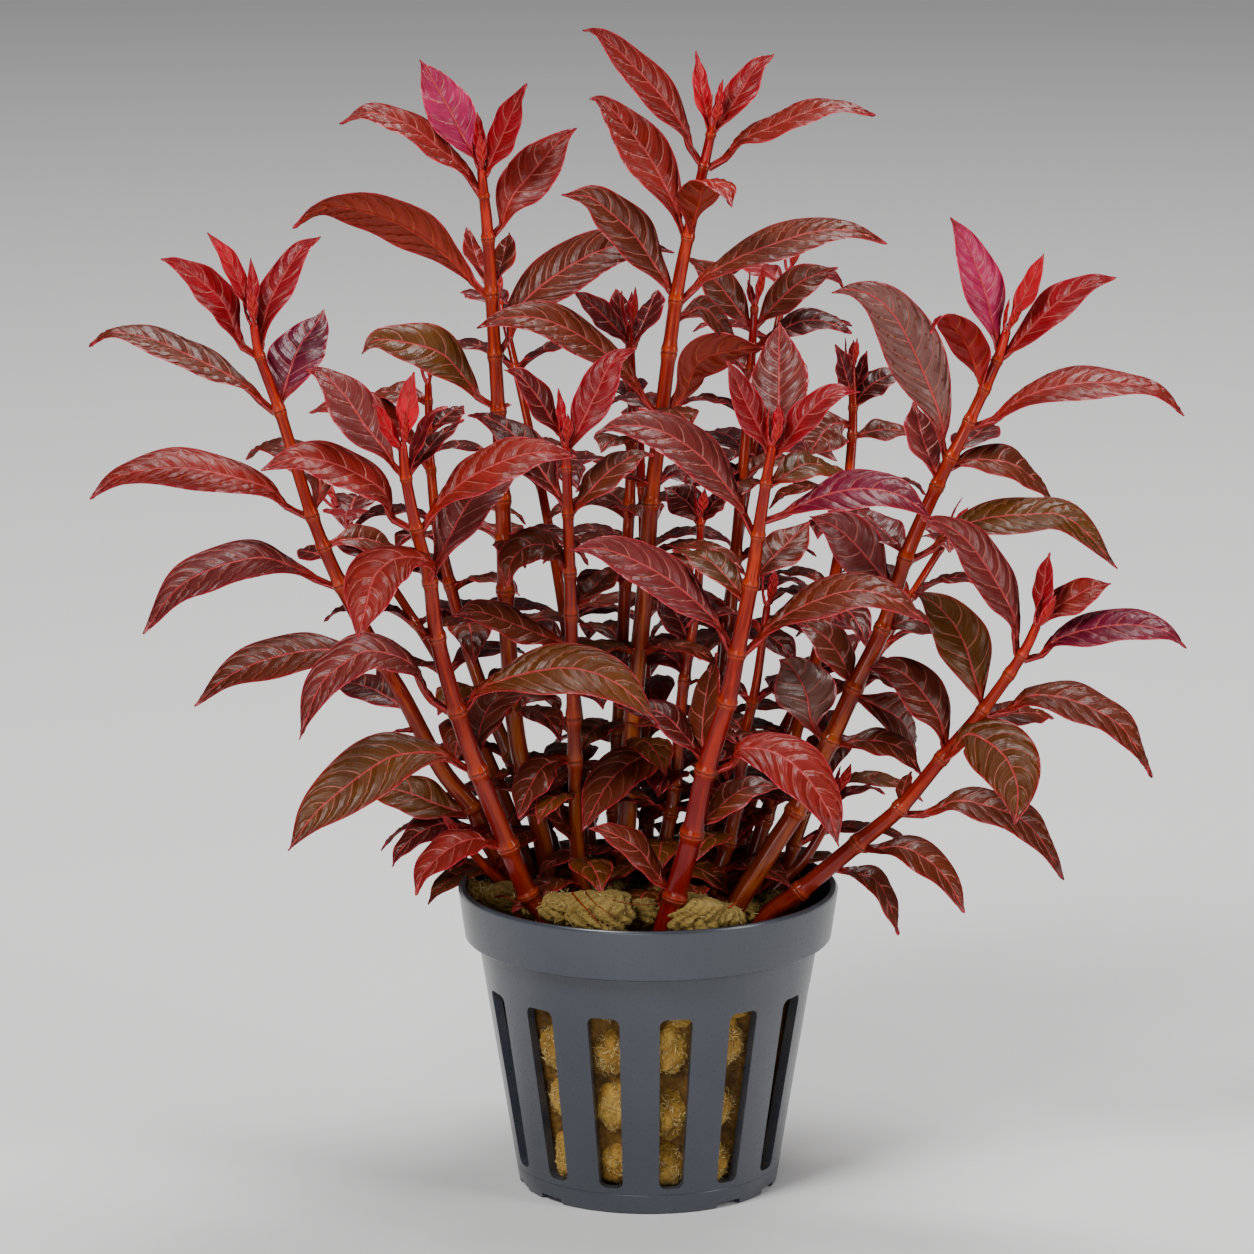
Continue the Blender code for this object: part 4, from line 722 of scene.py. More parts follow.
def rear_stem(shoot):
    """The centre line and radii of a stem that leans outward and bows up on its way."""
    foot = Vector((shoot.base[0] * MM, shoot.base[1] * MM, WOOL_TOP + REAR_FOOT_HEIGHT))
    top = Vector(shoot.top) * MM
    outward = Vector((top.x - foot.x, top.y - foot.y, 0)).normalized()
    points = []
    for step in range(BOW_STEPS + 1):
        t = step / BOW_STEPS
        points.append(foot.lerp(top, t) - outward * shoot.bow * MM * math.sin(math.pi * t))
    return finish_stem(points, REAR_FOOT_RADIUS, REAR_TOP_RADIUS, REAR_TAPER)


def finish_stem(points, base_radius, top_radius, taper):
    """Carry the foot down into the wool and give every point its radius."""
    lean = (points[1] - points[0]).normalized() * ROOT_LEAN
    sink = points[0].z - (WOOL_TOP - PLANTED_DEPTH)
    points = [points[0] - Vector((lean.x, lean.y, 1)) * sink] + points
    radii = []
    for index in range(len(points)):
        share = index / (len(points) - 1)
        radii.append(base_radius + (top_radius - base_radius) * share ** taper)
    return points, radii


def stem_place(line, share):
    """The centre, direction and radius of a stem at a share of its length."""
    points, radii = line
    spot = share * (len(points) - 1)
    index = min(int(spot), len(points) - 2)
    part = spot - index
    centre = points[index].lerp(points[index + 1], part)
    heading = (points[index + 1] - points[index]).normalized()
    radius = radii[index] + (radii[index + 1] - radii[index]) * part
    return centre, heading, radius


def nearest_share(line, pixel):
    """The share of a stem's length that the photograph shows nearest to a pixel."""
    best = None
    for step in range(STEM_STEPS + 1):
        share = step / STEM_STEPS
        centre = stem_place(line, share)[0]
        gap = (view_point(pixel, centre.y) - centre).length
        if best is None or gap < best[0]:
            best = (gap, share)
    return best[1]


def leaf_width(share):
    """The blade's outline: its half width at a share of the leaf's length, from 0 to 1."""
    t = (share - PETIOLE_SHARE) / (1 - PETIOLE_SHARE)
    if t <= 0:
        return 0.0
    swell = TIP_SHARPNESS * BROADEST_AT / (1 - BROADEST_AT)
    return (t / BROADEST_AT) ** swell * ((1 - t) / (1 - BROADEST_AT)) ** TIP_SHARPNESS


def photo_leaf(line, leaf, shift):
    """A leaf's spine and face directions, so that the photograph shows it where it is."""
    centre, heading, radius = stem_place(line, nearest_share(line, leaf.base))
    side = 1 if leaf.tip[0] < leaf.base[0] else -1
    pixels = list(leaf.via) + [leaf.tip]
    if not leaf.via:
        rise = STRAIGHT_LEAF_RISE * abs(leaf.tip[0] - leaf.base[0])
        middle = ((leaf.base[0] + leaf.tip[0]) / 2, (leaf.base[1] + leaf.tip[1]) / 2 - rise)
        pixels = [middle, leaf.tip]
    lengths = [0.0]
    before = leaf.base
    for pixel in pixels:
        lengths.append(lengths[-1] + math.hypot(pixel[0] - before[0], pixel[1] - before[1]))
        before = pixel
    out = (leaf.out + shift) * MM
    points = [centre + Vector((side, 0, 0)) * ROOT_OVERLAP * radius]
    for pixel, length in zip(pixels, lengths[1:]):
        points.append(view_point(pixel, centre.y + out * (length / lengths[-1]) ** OUTWARD_CURVE))
    if leaf.own:
        away = square_to(points[1] - centre, heading)
        clear = radius + GAP + OWN_LEAF_STANDOFF
        points[0] = centre + away * clear
        if (points[1] - centre).dot(away) < clear + GAP:
            points[1] = points[1] + away * (radius + GAP)
    spine = curve_through(points, SPINE_SAMPLES)
    scale = PIXELS_PER_TANGENT / (spine[len(spine) // 2] - EYE).length
    roll = math.acos(min(1.0, leaf.seen / (leaf.wide * MM * scale)))
    if leaf.under:
        roll = math.pi - roll
    middle = SPINE_SAMPLES // 2
    along = direction(spine, middle)
    to_eye = square_to((EYE - spine[middle]).normalized(), along)
    face = to_eye * math.cos(roll) + along.cross(to_eye) * side * math.sin(roll)
    petiole = PETIOLE_HALF_WIDTH if leaf.own else grown_petiole(radius)
    return Shape(spine, untwisted_faces(spine, face, middle), leaf.wide * MM / 2, petiole)


def grown_petiole(stem_radius):
    """A petiole's half width, narrow enough to start inside its stem."""
    return min(PETIOLE_HALF_WIDTH, stem_radius * PETIOLE_PER_STEM)


def square_to(vector, axis):
    """The part of a vector that is square to an axis, at unit length."""
    return (vector - axis * vector.dot(axis)).normalized()


def untwisted_faces(spine, face, start):
    """Face directions along a spine that turn with it but never twist about it."""
    faces = [face] * len(spine)
    for index in range(start + 1, len(spine)):
        faces[index] = square_to(faces[index - 1], direction(spine, index))
    for index in range(start - 1, -1, -1):
        faces[index] = square_to(faces[index + 1], direction(spine, index))
    return faces


def habit_leaf(line, share, turn, length, wide, droop):
    """A leaf that rises from its stem and arches over, in the direction of turn."""
    outward = Vector((math.cos(turn), math.sin(turn), 0))
    upward = Vector((0, 0, 1))
    centre, _, radius = stem_place(line, share)
    petiole = grown_petiole(radius)
    climb = FOOT_CLIMB + (TOP_CLIMB - FOOT_CLIMB) * share
    spine = [centre - outward * ROOT_OVERLAP * radius]
    faces = []
    step = length * MM / SPINE_SAMPLES
    for index in range(SPINE_SAMPLES + 1):
        angle = climb - droop * index / SPINE_SAMPLES
        faces.append(upward * math.cos(angle) - outward * math.sin(angle))
        if index < SPINE_SAMPLES:
            along = outward * math.cos(angle) + upward * math.sin(angle)
            spine.append(spine[-1] + along * step)
    return Shape(spine, faces, wide * MM / 2, petiole)


def direction(spine, index):
    """The direction of a curve at one of its points, taken from the points beside it."""
    before = spine[max(0, index - 1)]
    after = spine[min(len(spine) - 1, index + 1)]
    return (after - before).normalized()


def photo_trials(line, leaf):
    """The photograph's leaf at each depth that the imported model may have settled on."""
    for shift in PHOTO_SHIFTS:
        yield photo_leaf(line, leaf, shift)


def habit_trials(line, share, turn, length, wide, droop=LEAF_DROOP):
    """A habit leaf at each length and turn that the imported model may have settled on."""
    for shorter in HABIT_LENGTHS:
        for extra in HABIT_TURNS:
            swing = math.radians(turn + extra)
            yield habit_leaf(line, share, swing, length * shorter, wide * shorter ** 0.5, droop)


def tree_of(points):
    """A tree that finds the nearest of some points."""
    tree = KDTree(len(points))
    for index, point in enumerate(points):
        tree.insert(point, index)
    tree.balance()
    return tree


def in_solid(node, point):
    """Whether a CAD node has a corner at this point."""
    if node not in corner_trees:
        corner_trees[node] = tree_of([corner.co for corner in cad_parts[node].data.vertices])
    return corner_trees[node].find(point)[2] < SAME_POINT


def matching(node, trials):
    """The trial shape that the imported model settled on: the one whose tip it has."""
    for shape in trials:
        if in_solid(node, shape.spine[-1]):
            return shape
    return None


def pair_leaves(pairs):
    """Where each leaf of some pairs leaves its stem, which way it turns and how long it is."""
    for number, share in enumerate(pairs.places):
        along = number / max(1, len(pairs.places) - 1)
        length = pairs.longest + (pairs.shortest - pairs.longest) * along
        for opposite in (0, ACROSS_THE_STEM):
            yield share, pairs.first_turn + QUARTER_TURN * number + opposite, length


def all_blades(lines):
    """Every leaf of every shoot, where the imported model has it, by the node it belongs to."""
    blades = {}
    for name in lines:
        blades[name + "_stem"] = []
    for name, leaves in LEAVES.items():
        for number, leaf in enumerate(leaves, 1):
            node = f"{name}_leaf_{number}" if leaf.own else name + "_stem"
            shape = matching(node, photo_trials(lines[name], leaf))
            if shape:
                tone = TONE_LETTERS[TONES[name][number - 1]]
                rise = nearest_share(lines[name], leaf.base)
                root = stem_place(lines[name], rise)[0] if leaf.own else None
                blades.setdefault(node, []).append(Blade(shape, tone, rise, root, FINE_GRID))
    groups = dict(STEM_PAIRS)
    groups.update({name: shoot.pairs for name, shoot in REAR_SHOOTS.items()})
    for name, pairs in groups.items():
        for share, turn, length in pair_leaves(pairs):
            trials = habit_trials(lines[name], share, turn, length, pairs.wide)
            shape = matching(name + "_stem", trials)
            if shape:
                blade = Blade(shape, habit_tone(share), share, None, PLAIN_GRID)
                blades[name + "_stem"].append(blade)
    return blades


def spine_marks(blade):
    """Places on a leaf's midrib and on both its halves, past its stalk."""
    spine = blade.shape.spine
    for index in range(SPINE_SAMPLES // 4, len(spine), MARK_STEP):
        along = direction(spine, index)
        across = along.cross(square_to(blade.shape.faces[index], along))
        half = blade.shape.half_width * leaf_width(index / SPINE_SAMPLES) * MARK_REACH
        yield spine[index]
        yield spine[index] + across * half
        yield spine[index] - across * half


def add_filling_leaves(lines, blades):
    """The small dark leaves deep in the plant, each where it keeps clear of the others."""
    for name, numbers in FILLING.items():
        pairs = Pairs(*numbers)
        for share, turn, length in pair_leaves(pairs):
            marks = []
            for blade in sum(blades.values(), []):
                marks.extend(spine_marks(blade))
            tree = tree_of(marks)
            trials = habit_trials(lines[name], share, turn, length, pairs.wide, FILLING_DROOP)
            for shape in trials:
                blade = Blade(shape, habit_tone(share), share, None, SMALL_GRID)
                clear = all(tree.find(spot)[2] > FILLING_ROOM for spot in spine_marks(blade))
                if clear and in_bounds(shape):
                    blades[name + "_stem"].append(blade)
                    break


def in_bounds(shape):
    """Whether a leaf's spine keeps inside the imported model's box."""
    return all(
        cad_low[axis] < spot[axis] < cad_high[axis] for spot in shape.spine for axis in range(3))


def add_bud_leaves(lines, blades):
    """The small young leaves that stand nearly straight up round the top of every stem."""
    for name, line in lines.items():
        centre, heading, radius = stem_place(line, 1.0)
        beside = heading.orthogonal().normalized()
        for number in range(BUDS):
            turn = math.tau * (number + rng.uniform(0, BUD_SWAY)) / BUDS
            outward = beside * math.cos(turn) + heading.cross(beside) * math.sin(turn)
            step = BUD_LENGTH * rng.uniform(*BUD_LENGTHS) / SPINE_SAMPLES
            spine = [centre - heading * radius + outward * radius * ROOT_OVERLAP]
            faces = []
            for index in range(SPINE_SAMPLES + 1):
                angle = BUD_SPREAD - BUD_CLOSING * index / SPINE_SAMPLES
                faces.append(heading * math.sin(angle) - outward * math.cos(angle))
                if index < SPINE_SAMPLES:
                    along = heading * math.cos(angle) + outward * math.sin(angle)
                    spine.append(spine[-1] + along * step)
            shape = Shape(spine, faces, BUD_HALF_WIDTH, radius * PETIOLE_PER_STEM)
            if in_bounds(shape):
                blades[name + "_stem"].append(Blade(shape, "scarlet", 1.0, None, SMALL_GRID))


def habit_tone(share):
    """Young leaves near the top are red, older ones burgundy, and the lowest brown."""
    return rng.choice(next(tones for above, tones in HABIT_TONES if share > above))


def srgb(red, green, blue):
    """A linear colour from the 0 to 255 values a screen shows."""
    linear = []
    for value in (red, green, blue):
        share = value / 255
        linear.append(share / 12.92 if share <= 0.04045 else ((share + 0.055) / 1.055) ** 2.4)
    return (*linear, 1.0)


def smooth_step(low, high, value):
    """0 below low, 1 above high, and a smooth rise between them."""
    t = min(1.0, max(0.0, (value - low) / (high - low)))
    return t * t * (3 - 2 * t)


# Leaf colours, as a screen shows them: the upper face, then the underside. The upper faces of the two
# sheen tones are a dull red and a brown drawn towards pale grey-mauve, as painted sheen.
LEAF_SHADES = {
    "scarlet": ((208, 6, 36), (186, 14, 18)),
    "crimson": ((134, 3, 20), (132, 8, 10)),
    "magenta": ((174, 24, 80), (158, 20, 48)),
    "salmon": ((146, 22, 8), (126, 28, 4)),
    "red": ((126, 24, 18), (138, 32, 12)),
    "purple": ((102, 2, 40), (112, 8, 26)),
    "lilac_sheen": ((104, 34, 34), (118, 28, 16)),
    "burgundy": ((70, 8, 5), (88, 14, 7)),
    "brown": ((94, 34, 14), (114, 38, 8)),
    "olive": ((92, 50, 8), (106, 48, 6)),
    "dusky_sheen": ((110, 72, 66), (96, 36, 18)),
    "wine": ((82, 2, 7), (88, 5, 5)),
}
LEAF_TONES = {name: srgb(*shades[0]) for name, shades in LEAF_SHADES.items()}
UNDER_TONES = {name: srgb(*shades[1]) for name, shades in LEAF_SHADES.items()}


# Meshes

# How values of so many numbers are stored on points
ATTRIBUTE_KINDS = {1: ("FLOAT", "value"), 3: ("FLOAT_VECTOR", "vector"), 4: ("FLOAT_COLOR", "color")}


class MeshParts:
    """Points, faces and per-point values gathered for one mesh."""

    def __init__(self, *fields):
        self.points = []
        self.faces = []
        self.values = {field: [] for field in fields}

    def add(self, point, **values):
        """Add a point with its values, and give its number."""
        self.points.append(point)
        for field, stored in self.values.items():
            stored.append(values[field])
        return len(self.points) - 1

    def mesh(self, name):
        """The finished mesh, with each value stored on its points."""
        mesh = bpy.data.meshes.new(name)
        mesh.from_pydata(self.points, [], self.faces)
        for field, stored in self.values.items():
            width = len(stored[0]) if isinstance(stored[0], (tuple, list)) else 1
            kind, target = ATTRIBUTE_KINDS[width]
            layer = mesh.attributes.new(field, kind, "POINT")
            layer.data.foreach_set(target, np.array(stored, dtype=np.float32).ravel())
        mesh.shade_smooth()
        mesh.update()
        return mesh


def new_piece(name, mesh, material, nodes):
    """A finished piece that rides on the plant and stands for CAD nodes."""
    piece = bpy.data.objects.new(name, mesh)
    bpy.context.scene.collection.objects.link(piece)
    mesh.materials.append(material)
    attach(piece, "root")
    if nodes:
        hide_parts(*nodes)
    return piece


def stem_curve(line, share):
    """A stem's centre and radius at a share of its points, on a smooth curve through them."""
    points, radii = line
    spot = share * (len(points) - 1)
    index = min(int(spot), len(points) - 2)
    t = spot - index
    start = points[index]
    end = points[index + 1]
    before = points[index - 1] if index > 0 else start * 2 - end
    after = points[index + 2] if index + 2 < len(points) else end * 2 - start
    centre = smooth_point(before, start, end, after, t)
    return centre, radii[index] + (radii[index + 1] - radii[index]) * t


def joint_shares(name, line, blades):
    """Where a stem has its joints: those the photograph shows, or where its leaves leave it."""
    if name in JOINTS:
        return sorted(nearest_share(line, pixel) for pixel in JOINTS[name])
    shares = []
    for share in sorted(blade.rise for blade in blades):
        if not shares or share - shares[-1] > LEAST_JOINT_STEP:
            shares.append(share)
    return shares


def close_tube(parts, rings):
    """Faces between rings of points that follow one another, and over both ends."""
    sides = len(rings[0])
    for ring, following in zip(rings, rings[1:]):
        for side in range(sides):
            beside = (side + 1) % sides
            parts.faces.append((ring[side], ring[beside], following[beside], following[side]))
    parts.faces.append(tuple(reversed(rings[0])))
    parts.faces.append(tuple(rings[-1]))


def stalk_mesh(name, line, joints):
    """A round stem that swells at each joint, with a fine dark crease round the swelling."""
    length = sum((b - a).length for a, b in zip(line[0], line[0][1:]))
    shares = set(np.linspace(0, 1, round(length / STALK_STEP)))
    for joint in joints:
        for offset in JOINT_OFFSETS:
            shares.add(min(1.0, max(0.0, joint + offset / length)))
    shares = sorted(shares)
    parts = MeshParts("rise", "crease", "joint", "flush", "amber", "skin")
    amber = AMBER.get(name[:-len("_stalk")], REAR_AMBER)
    normal = None
    rings = []
    foot = line[0][0].z
    top = line[0][-1].z
    for share in shares:
        centre, radius = stem_curve(line, share)
        ahead, _ = stem_curve(line, min(1.0, share + HEADING_REACH))
        behind, _ = stem_curve(line, max(0.0, share - HEADING_REACH))
        along = (ahead - behind).normalized()
        if normal is None:
            normal = along.orthogonal().normalized()
        normal = square_to(normal, along)
        beside = along.cross(normal)
        gap = min((abs(share - joint) * length for joint in joints), default=FAR_FROM_JOINTS)
        above = min((joint - share for joint in joints if joint >= share), default=FAR_FROM_JOINTS)
        flush = math.exp(-(above * length) / FLUSH_REACH)
        swell = math.exp(-(gap / SWELL_REACH) ** 2)
        crease = math.exp(-(gap / CREASE_REACH) ** 2)
        radius = radius * (STALK_FULLNESS + SWELL * swell - CREASE * crease)
        if share > STALK_TIP:
            radius = radius * (1 - (share - STALK_TIP) / STALK_TIP_SHARE * STALK_TIP_NARROWING)
        rise = (centre.z - foot) / (top - foot)
        ring = []
        for side in range(STALK_SIDES):
            turn = math.tau * side / STALK_SIDES
            ridge = 1 + STALK_RIDGE * math.cos(STALK_RIDGES * turn)
            spot = centre + (normal * math.cos(turn) + beside * math.sin(turn)) * radius * ridge
            skin = (math.cos(turn), math.sin(turn), share * length / STREAK_LENGTH)
            ring.append(parts.add(
                spot, rise=rise, crease=crease, joint=swell, flush=flush, skin=skin,
                amber=amber * (1 - smooth_step(*AMBER_FADE, rise))))
        rings.append(ring)
    close_tube(parts, rings)
    return parts.mesh(name)


def along_spine(spine, faces, spot):
    """The place, direction and face direction at a sample number that need not be whole."""
    index = min(int(spot), len(spine) - 2)
    part = spot - index
    place = spine[index].lerp(spine[index + 1], part)
    along = direction(spine, index).lerp(direction(spine, index + 1), part).normalized()
    face = square_to(faces[index].lerp(faces[index + 1], part), along)
    return place, along, face


def fine_width(share):
    """The blade's outline, which narrows slowly into the leaf's stalk."""
    wing = 0.0
    if share < WING_REACH:
        wing = WING_WIDTH * (share / WING_REACH) ** WING_CURVE
    return max(leaf_width(share), wing)


def add_leaf(parts, blade):
    """One leaf: a thin closed blade with a sunken midrib, quilted between its side veins."""
    shape = blade.shape
    samples, columns = blade.grid
    spine = list(shape.spine)
    if blade.root:
        spine[0] = blade.root.lerp(spine[0], OWN_LEAF_ROOT)
        spine[1] = spine[0].lerp(spine[2], 0.5)
    length = sum((b - a).length for a, b in zip(spine, spine[1:]))
    relief = min(1.0, shape.half_width / FULL_RELIEF)
    veins = max(LEAST_VEINS, round(length / VEIN_STEP))
    lean = rng.uniform(0, 1)
    phase = rng.uniform(0, math.tau)
    waves = rng.uniform(*MARGIN_WAVES)
    twist = rng.uniform(-LEAF_TWIST, LEAF_TWIST)
    curl = rng.uniform(*TIP_CURLS)
    tone = tuple(c * rng.uniform(*TONE_RANGE) for c in LEAF_TONES[blade.tone][:3]) + (1.0,)
    under = UNDER_TONES[blade.tone]
    rows = []
    for sample in samples:
        share = sample / SPINE_SAMPLES
        place, along, face = along_spine(spine, shape.faces, sample)
        across = along.cross(face).normalized()
        turn = twist * smooth_step(TWIST_FROM, 1.0, share)
        across, face = (
            across * math.cos(turn) + face * math.sin(turn),
            face * math.cos(turn) - across * math.sin(turn))
        blade_half = shape.half_width * fine_width(share) * BLADE_FULLNESS
        half = max(blade_half, shape.petiole * (1 - PETIOLE_TAPER * share))
        body = smooth_step(0.0, 1.0, blade_half / half) * relief
        thick = LEAF_THICKNESS * (1 - THINNING * share) * max(LEAST_RELIEF, relief)
        keel = KEEL_DEPTH * (1 - share) * max(LEAST_RELIEF, relief)
        fold = half * LEAF_FOLD * body * (1 - FOLD_FLATTENING * share)
        groove = RIB_GROOVE * (1 - RIB_FADE * share) * relief
        droop = curl * TIP_CURL * smooth_step(CURL_FROM, 1.0, share) * relief
        row = []
        for side in (0, 1):
            line = []
            for v in columns:
                a = abs(v)
                vein = (share - VEIN_LEAN * a - VEIN_ARC * a ** 3) * veins
                vein += (0.5 if v > 0 else 0.0) + lean
                bulge = math.cos(math.tau * vein) * a * (1 - a) * 4
                wave = math.sin(math.tau * waves * share + phase + v) * a ** 2
                height = fold * (a - EDGE_DROP * a ** 3)
                height += QUILT * bulge * body
                height += MARGIN_WAVE * wave * body
                height -= groove * math.exp(-(a / RIB_SPREAD) ** 2)
                height -= droop
                if side:
                    edge = 1 - a ** EDGE_SHARPNESS
                    height -= (thick + keel * math.exp(-(a * half / KEEL_SPREAD) ** 2)) * edge
                spot = place + across * v * half + face * height
                line.append(parts.add(
                    spot, blade=(share, v, float(side)), habit=(veins, lean, half / MM),
                    tone=tone, under=under))
            row.append(line)
        rows.append(row)
    close_leaf(parts, rows)


def close_leaf(parts, rows):
    """Faces over a leaf's two sides, along its edges and over its two ends."""
    for row, following in zip(rows, rows[1:]):
        for column in range(len(row[0]) - 1):
            parts.faces.append((
                row[0][column], row[0][column + 1],
                following[0][column + 1], following[0][column]))
            parts.faces.append((
                row[1][column + 1], row[1][column],
                following[1][column], following[1][column + 1]))
        parts.faces.append((row[1][0], row[0][0], following[0][0], following[1][0]))
        parts.faces.append((row[0][-1], row[1][-1], following[1][-1], following[0][-1]))
    parts.faces.append(tuple(rows[0][0] + list(reversed(rows[0][1]))))
    parts.faces.append(tuple(list(reversed(rows[-1][0])) + rows[-1][1]))


def foliage_mesh(name, blades):
    """Some leaves as one mesh."""
    parts = MeshParts("blade", "habit", "tone", "under")
    for blade in blades:
        add_leaf(parts, blade)
    return parts.mesh(name)


def evaluated_mesh(thing):
    """The mesh of a thing after its modifiers."""
    bpy.context.view_layer.update()
    graph = bpy.context.evaluated_depsgraph_get()
    return bpy.data.meshes.new_from_object(thing.evaluated_get(graph))


def pot_profile():
    """The pot's wall from its floor up the inside, over the rim and down to its underside."""
    slope = (BODY_TOP_RADIUS - BASE_RADIUS) / COLLAR_FOOT
    seam = BASE_RADIUS + slope * SEAM_HEIGHT
    return [
        # Floor and inside
        (0.0, FLOOR_UNDERSIDE + POT_WALL),
        (BASE_RADIUS - POT_WALL - 0.5 * MM, FLOOR_UNDERSIDE + POT_WALL),
        (BASE_RADIUS - POT_WALL + 0.1 * MM, FLOOR_UNDERSIDE + POT_WALL + 0.6 * MM),
        (BODY_TOP_RADIUS - POT_WALL, COLLAR_FOOT),
        (COLLAR_FOOT_RADIUS - POT_WALL, COLLAR_FOOT + 1.2 * MM),
        # Rim
        (RIM_RADIUS - POT_WALL, RIM_TOP - 0.4 * MM),
        (RIM_RADIUS - POT_WALL + 0.4 * MM, RIM_TOP),
        (RIM_RADIUS - 0.35 * MM, RIM_TOP),
        (RIM_RADIUS, RIM_TOP - 0.45 * MM),
        # Foot of the collar
        (COLLAR_FOOT_RADIUS, COLLAR_FOOT + 0.2 * MM),
        (COLLAR_FOOT_RADIUS - 0.2 * MM, COLLAR_FOOT),
        (BODY_TOP_RADIUS + 0.2 * MM, COLLAR_FOOT),
        (BODY_TOP_RADIUS, COLLAR_FOOT - 0.25 * MM),
        # Seam above the foot ring
        (seam + SEAM_HALF * slope, SEAM_HEIGHT + SEAM_HALF),
        (seam - SEAM_DEPTH, SEAM_HEIGHT),
        (seam - SEAM_HALF * slope, SEAM_HEIGHT - SEAM_HALF),
        # Foot ring, underside and boss
        (BASE_RADIUS + 0.03 * MM, 0.25 * MM),
        (BASE_RADIUS - 0.25 * MM, 0.0),
        (BASE_RADIUS - POT_WALL, 0.0),
        (BASE_RADIUS - POT_WALL, FLOOR_UNDERSIDE),
        (BOSS_RADIUS, FLOOR_UNDERSIDE),
        (BOSS_RADIUS, 0.0),
        (0.0, 0.0),
    ]


def slot_outline():
    """One slot's outline, seen from outside: a tapered opening with rounded corners."""
    low = SLOT_BOTTOM_WIDTH / 2
    high = SLOT_TOP_WIDTH / 2
    corners = [
        (low, SLOT_BOTTOM, -90), (high, SLOT_TOP, 0), (-high, SLOT_TOP, 90), (-low, SLOT_BOTTOM, 180)]
    outline = []
    for across, height, start in corners:
        middle = (
            across - math.copysign(SLOT_CORNER, across),
            height + (SLOT_CORNER if height == SLOT_BOTTOM else -SLOT_CORNER))
        for step in range(CORNER_STEPS + 1):
            turn = math.radians(start + 90 * step / CORNER_STEPS)
            outline.append((
                middle[0] + SLOT_CORNER * math.cos(turn), middle[1] + SLOT_CORNER * math.sin(turn)))
    return outline


def radial_prisms(name, outline, angles, near, far):
    """Closed prisms that point away from the pot's axis, one for each angle."""
    work = bmesh.new()
    for angle in angles:
        turn = Matrix.Rotation(angle, 4, "Z")
        inside = [work.verts.new(turn @ Vector((near, y, z))) for y, z in outline]
        outside = [work.verts.new(turn @ Vector((far, y, z))) for y, z in outline]
        work.faces.new(inside)
        work.faces.new(outside)
        for index in range(len(outline)):
            beside = (index + 1) % len(outline)
            work.faces.new((inside[index], inside[beside], outside[beside], outside[index]))
    bmesh.ops.recalc_face_normals(work, faces=work.faces)
    mesh = bpy.data.meshes.new(name)
    work.to_mesh(mesh)
    work.free()
    return bpy.data.objects.new(name, mesh)


def drain_cutters():
    """Upright round cutters for the holes in the pot's floor."""
    work = bmesh.new()
    for number in range(DRAINS):
        turn = math.tau * (number + 0.5) / DRAINS
        place = Matrix.Translation((
            DRAIN_CIRCLE * math.cos(turn), DRAIN_CIRCLE * math.sin(turn), FLOOR_UNDERSIDE))
        bmesh.ops.create_cone(
            work, cap_ends=True, segments=DRAIN_SIDES, radius1=DRAIN_RADIUS, radius2=DRAIN_RADIUS,
            depth=4 * POT_WALL, matrix=place)
    mesh = bpy.data.meshes.new("drains")
    work.to_mesh(mesh)
    work.free()
    return bpy.data.objects.new("drains", mesh)


def pot_mesh():
    """The pot: a turned wall, with its slots, notches and drains cut out and its edges eased."""
    profile = pot_profile()
    outline = bpy.data.meshes.new("pot_outline")
    edges = [(index, index + 1) for index in range(len(profile) - 1)]
    outline.from_pydata([(radius, 0, height) for radius, height in profile], edges, [])
    blank = bpy.data.objects.new("pot_blank", outline)
    slots = radial_prisms(
        "slots", slot_outline(), [FIRST_SLOT_ANGLE + math.tau * n / SLOTS for n in range(SLOTS)],
        SLOT_REACH, RIM_RADIUS)
    half = NOTCH_WIDTH / 2
    notch = [
        (-half, -MM), (half, -MM), (half - NOTCH_TAPER, NOTCH_HEIGHT),
        (NOTCH_TAPER - half, NOTCH_HEIGHT)]
    notches = radial_prisms(
        "notches", notch, NOTCH_ANGLES, BASE_RADIUS - 2 * POT_WALL, BASE_RADIUS + MM)
    drains = drain_cutters()
    for thing in (blank, slots, notches, drains):
        bpy.context.scene.collection.objects.link(thing)
    screw = blank.modifiers.new("turn", "SCREW")
    screw.steps = POT_SEGMENTS
    screw.render_steps = POT_SEGMENTS
    screw.use_merge_vertices = True
    screw.merge_threshold = WELD_DISTANCE
    for cutter in (slots, notches, drains):
        cut = blank.modifiers.new(cutter.name, "BOOLEAN")
        cut.operation = "DIFFERENCE"
        cut.solver = "EXACT"
        cut.object = cutter
    bevel = blank.modifiers.new("edges", "BEVEL")
    bevel.width = POT_BEVEL
    bevel.segments = 2
    bevel.limit_method = "ANGLE"
    bevel.angle_limit = BEVEL_ANGLE
    shading = blank.modifiers.new("shading", "WEIGHTED_NORMAL")
    shading.keep_sharp = True
    outline.shade_smooth()
    mesh = evaluated_mesh(blank)
    for thing in (blank, slots, notches, drains):
        bpy.data.objects.remove(thing, do_unlink=True)
    return mesh


def inner_radius(height):
    """The pot's inside radius at a height."""
    share = height / COLLAR_FOOT
    return BASE_RADIUS + (BODY_TOP_RADIUS - BASE_RADIUS) * share - POT_WALL


def side_tufts():
    """The wool's lumps behind the slots, in rings: each a place, a radius and a way out."""
    tufts = []
    for height, radius in TUFT_RINGS:
        reach = inner_radius(height) - radius - TUFT_CLEARANCE
        for number in range(SLOTS):
            turn = FIRST_SLOT_ANGLE + math.tau * number / SLOTS
            turn += rng.uniform(-TUFT_SWAY, TUFT_SWAY)
            outward = Vector((math.cos(turn), math.sin(turn), 0))
            lift = Vector((0, 0, height + rng.uniform(-TUFT_LIFT, TUFT_LIFT) * MM))
            tufts.append((outward * reach + lift, radius * rng.uniform(*TUFT_SIZES), outward))
    return tufts


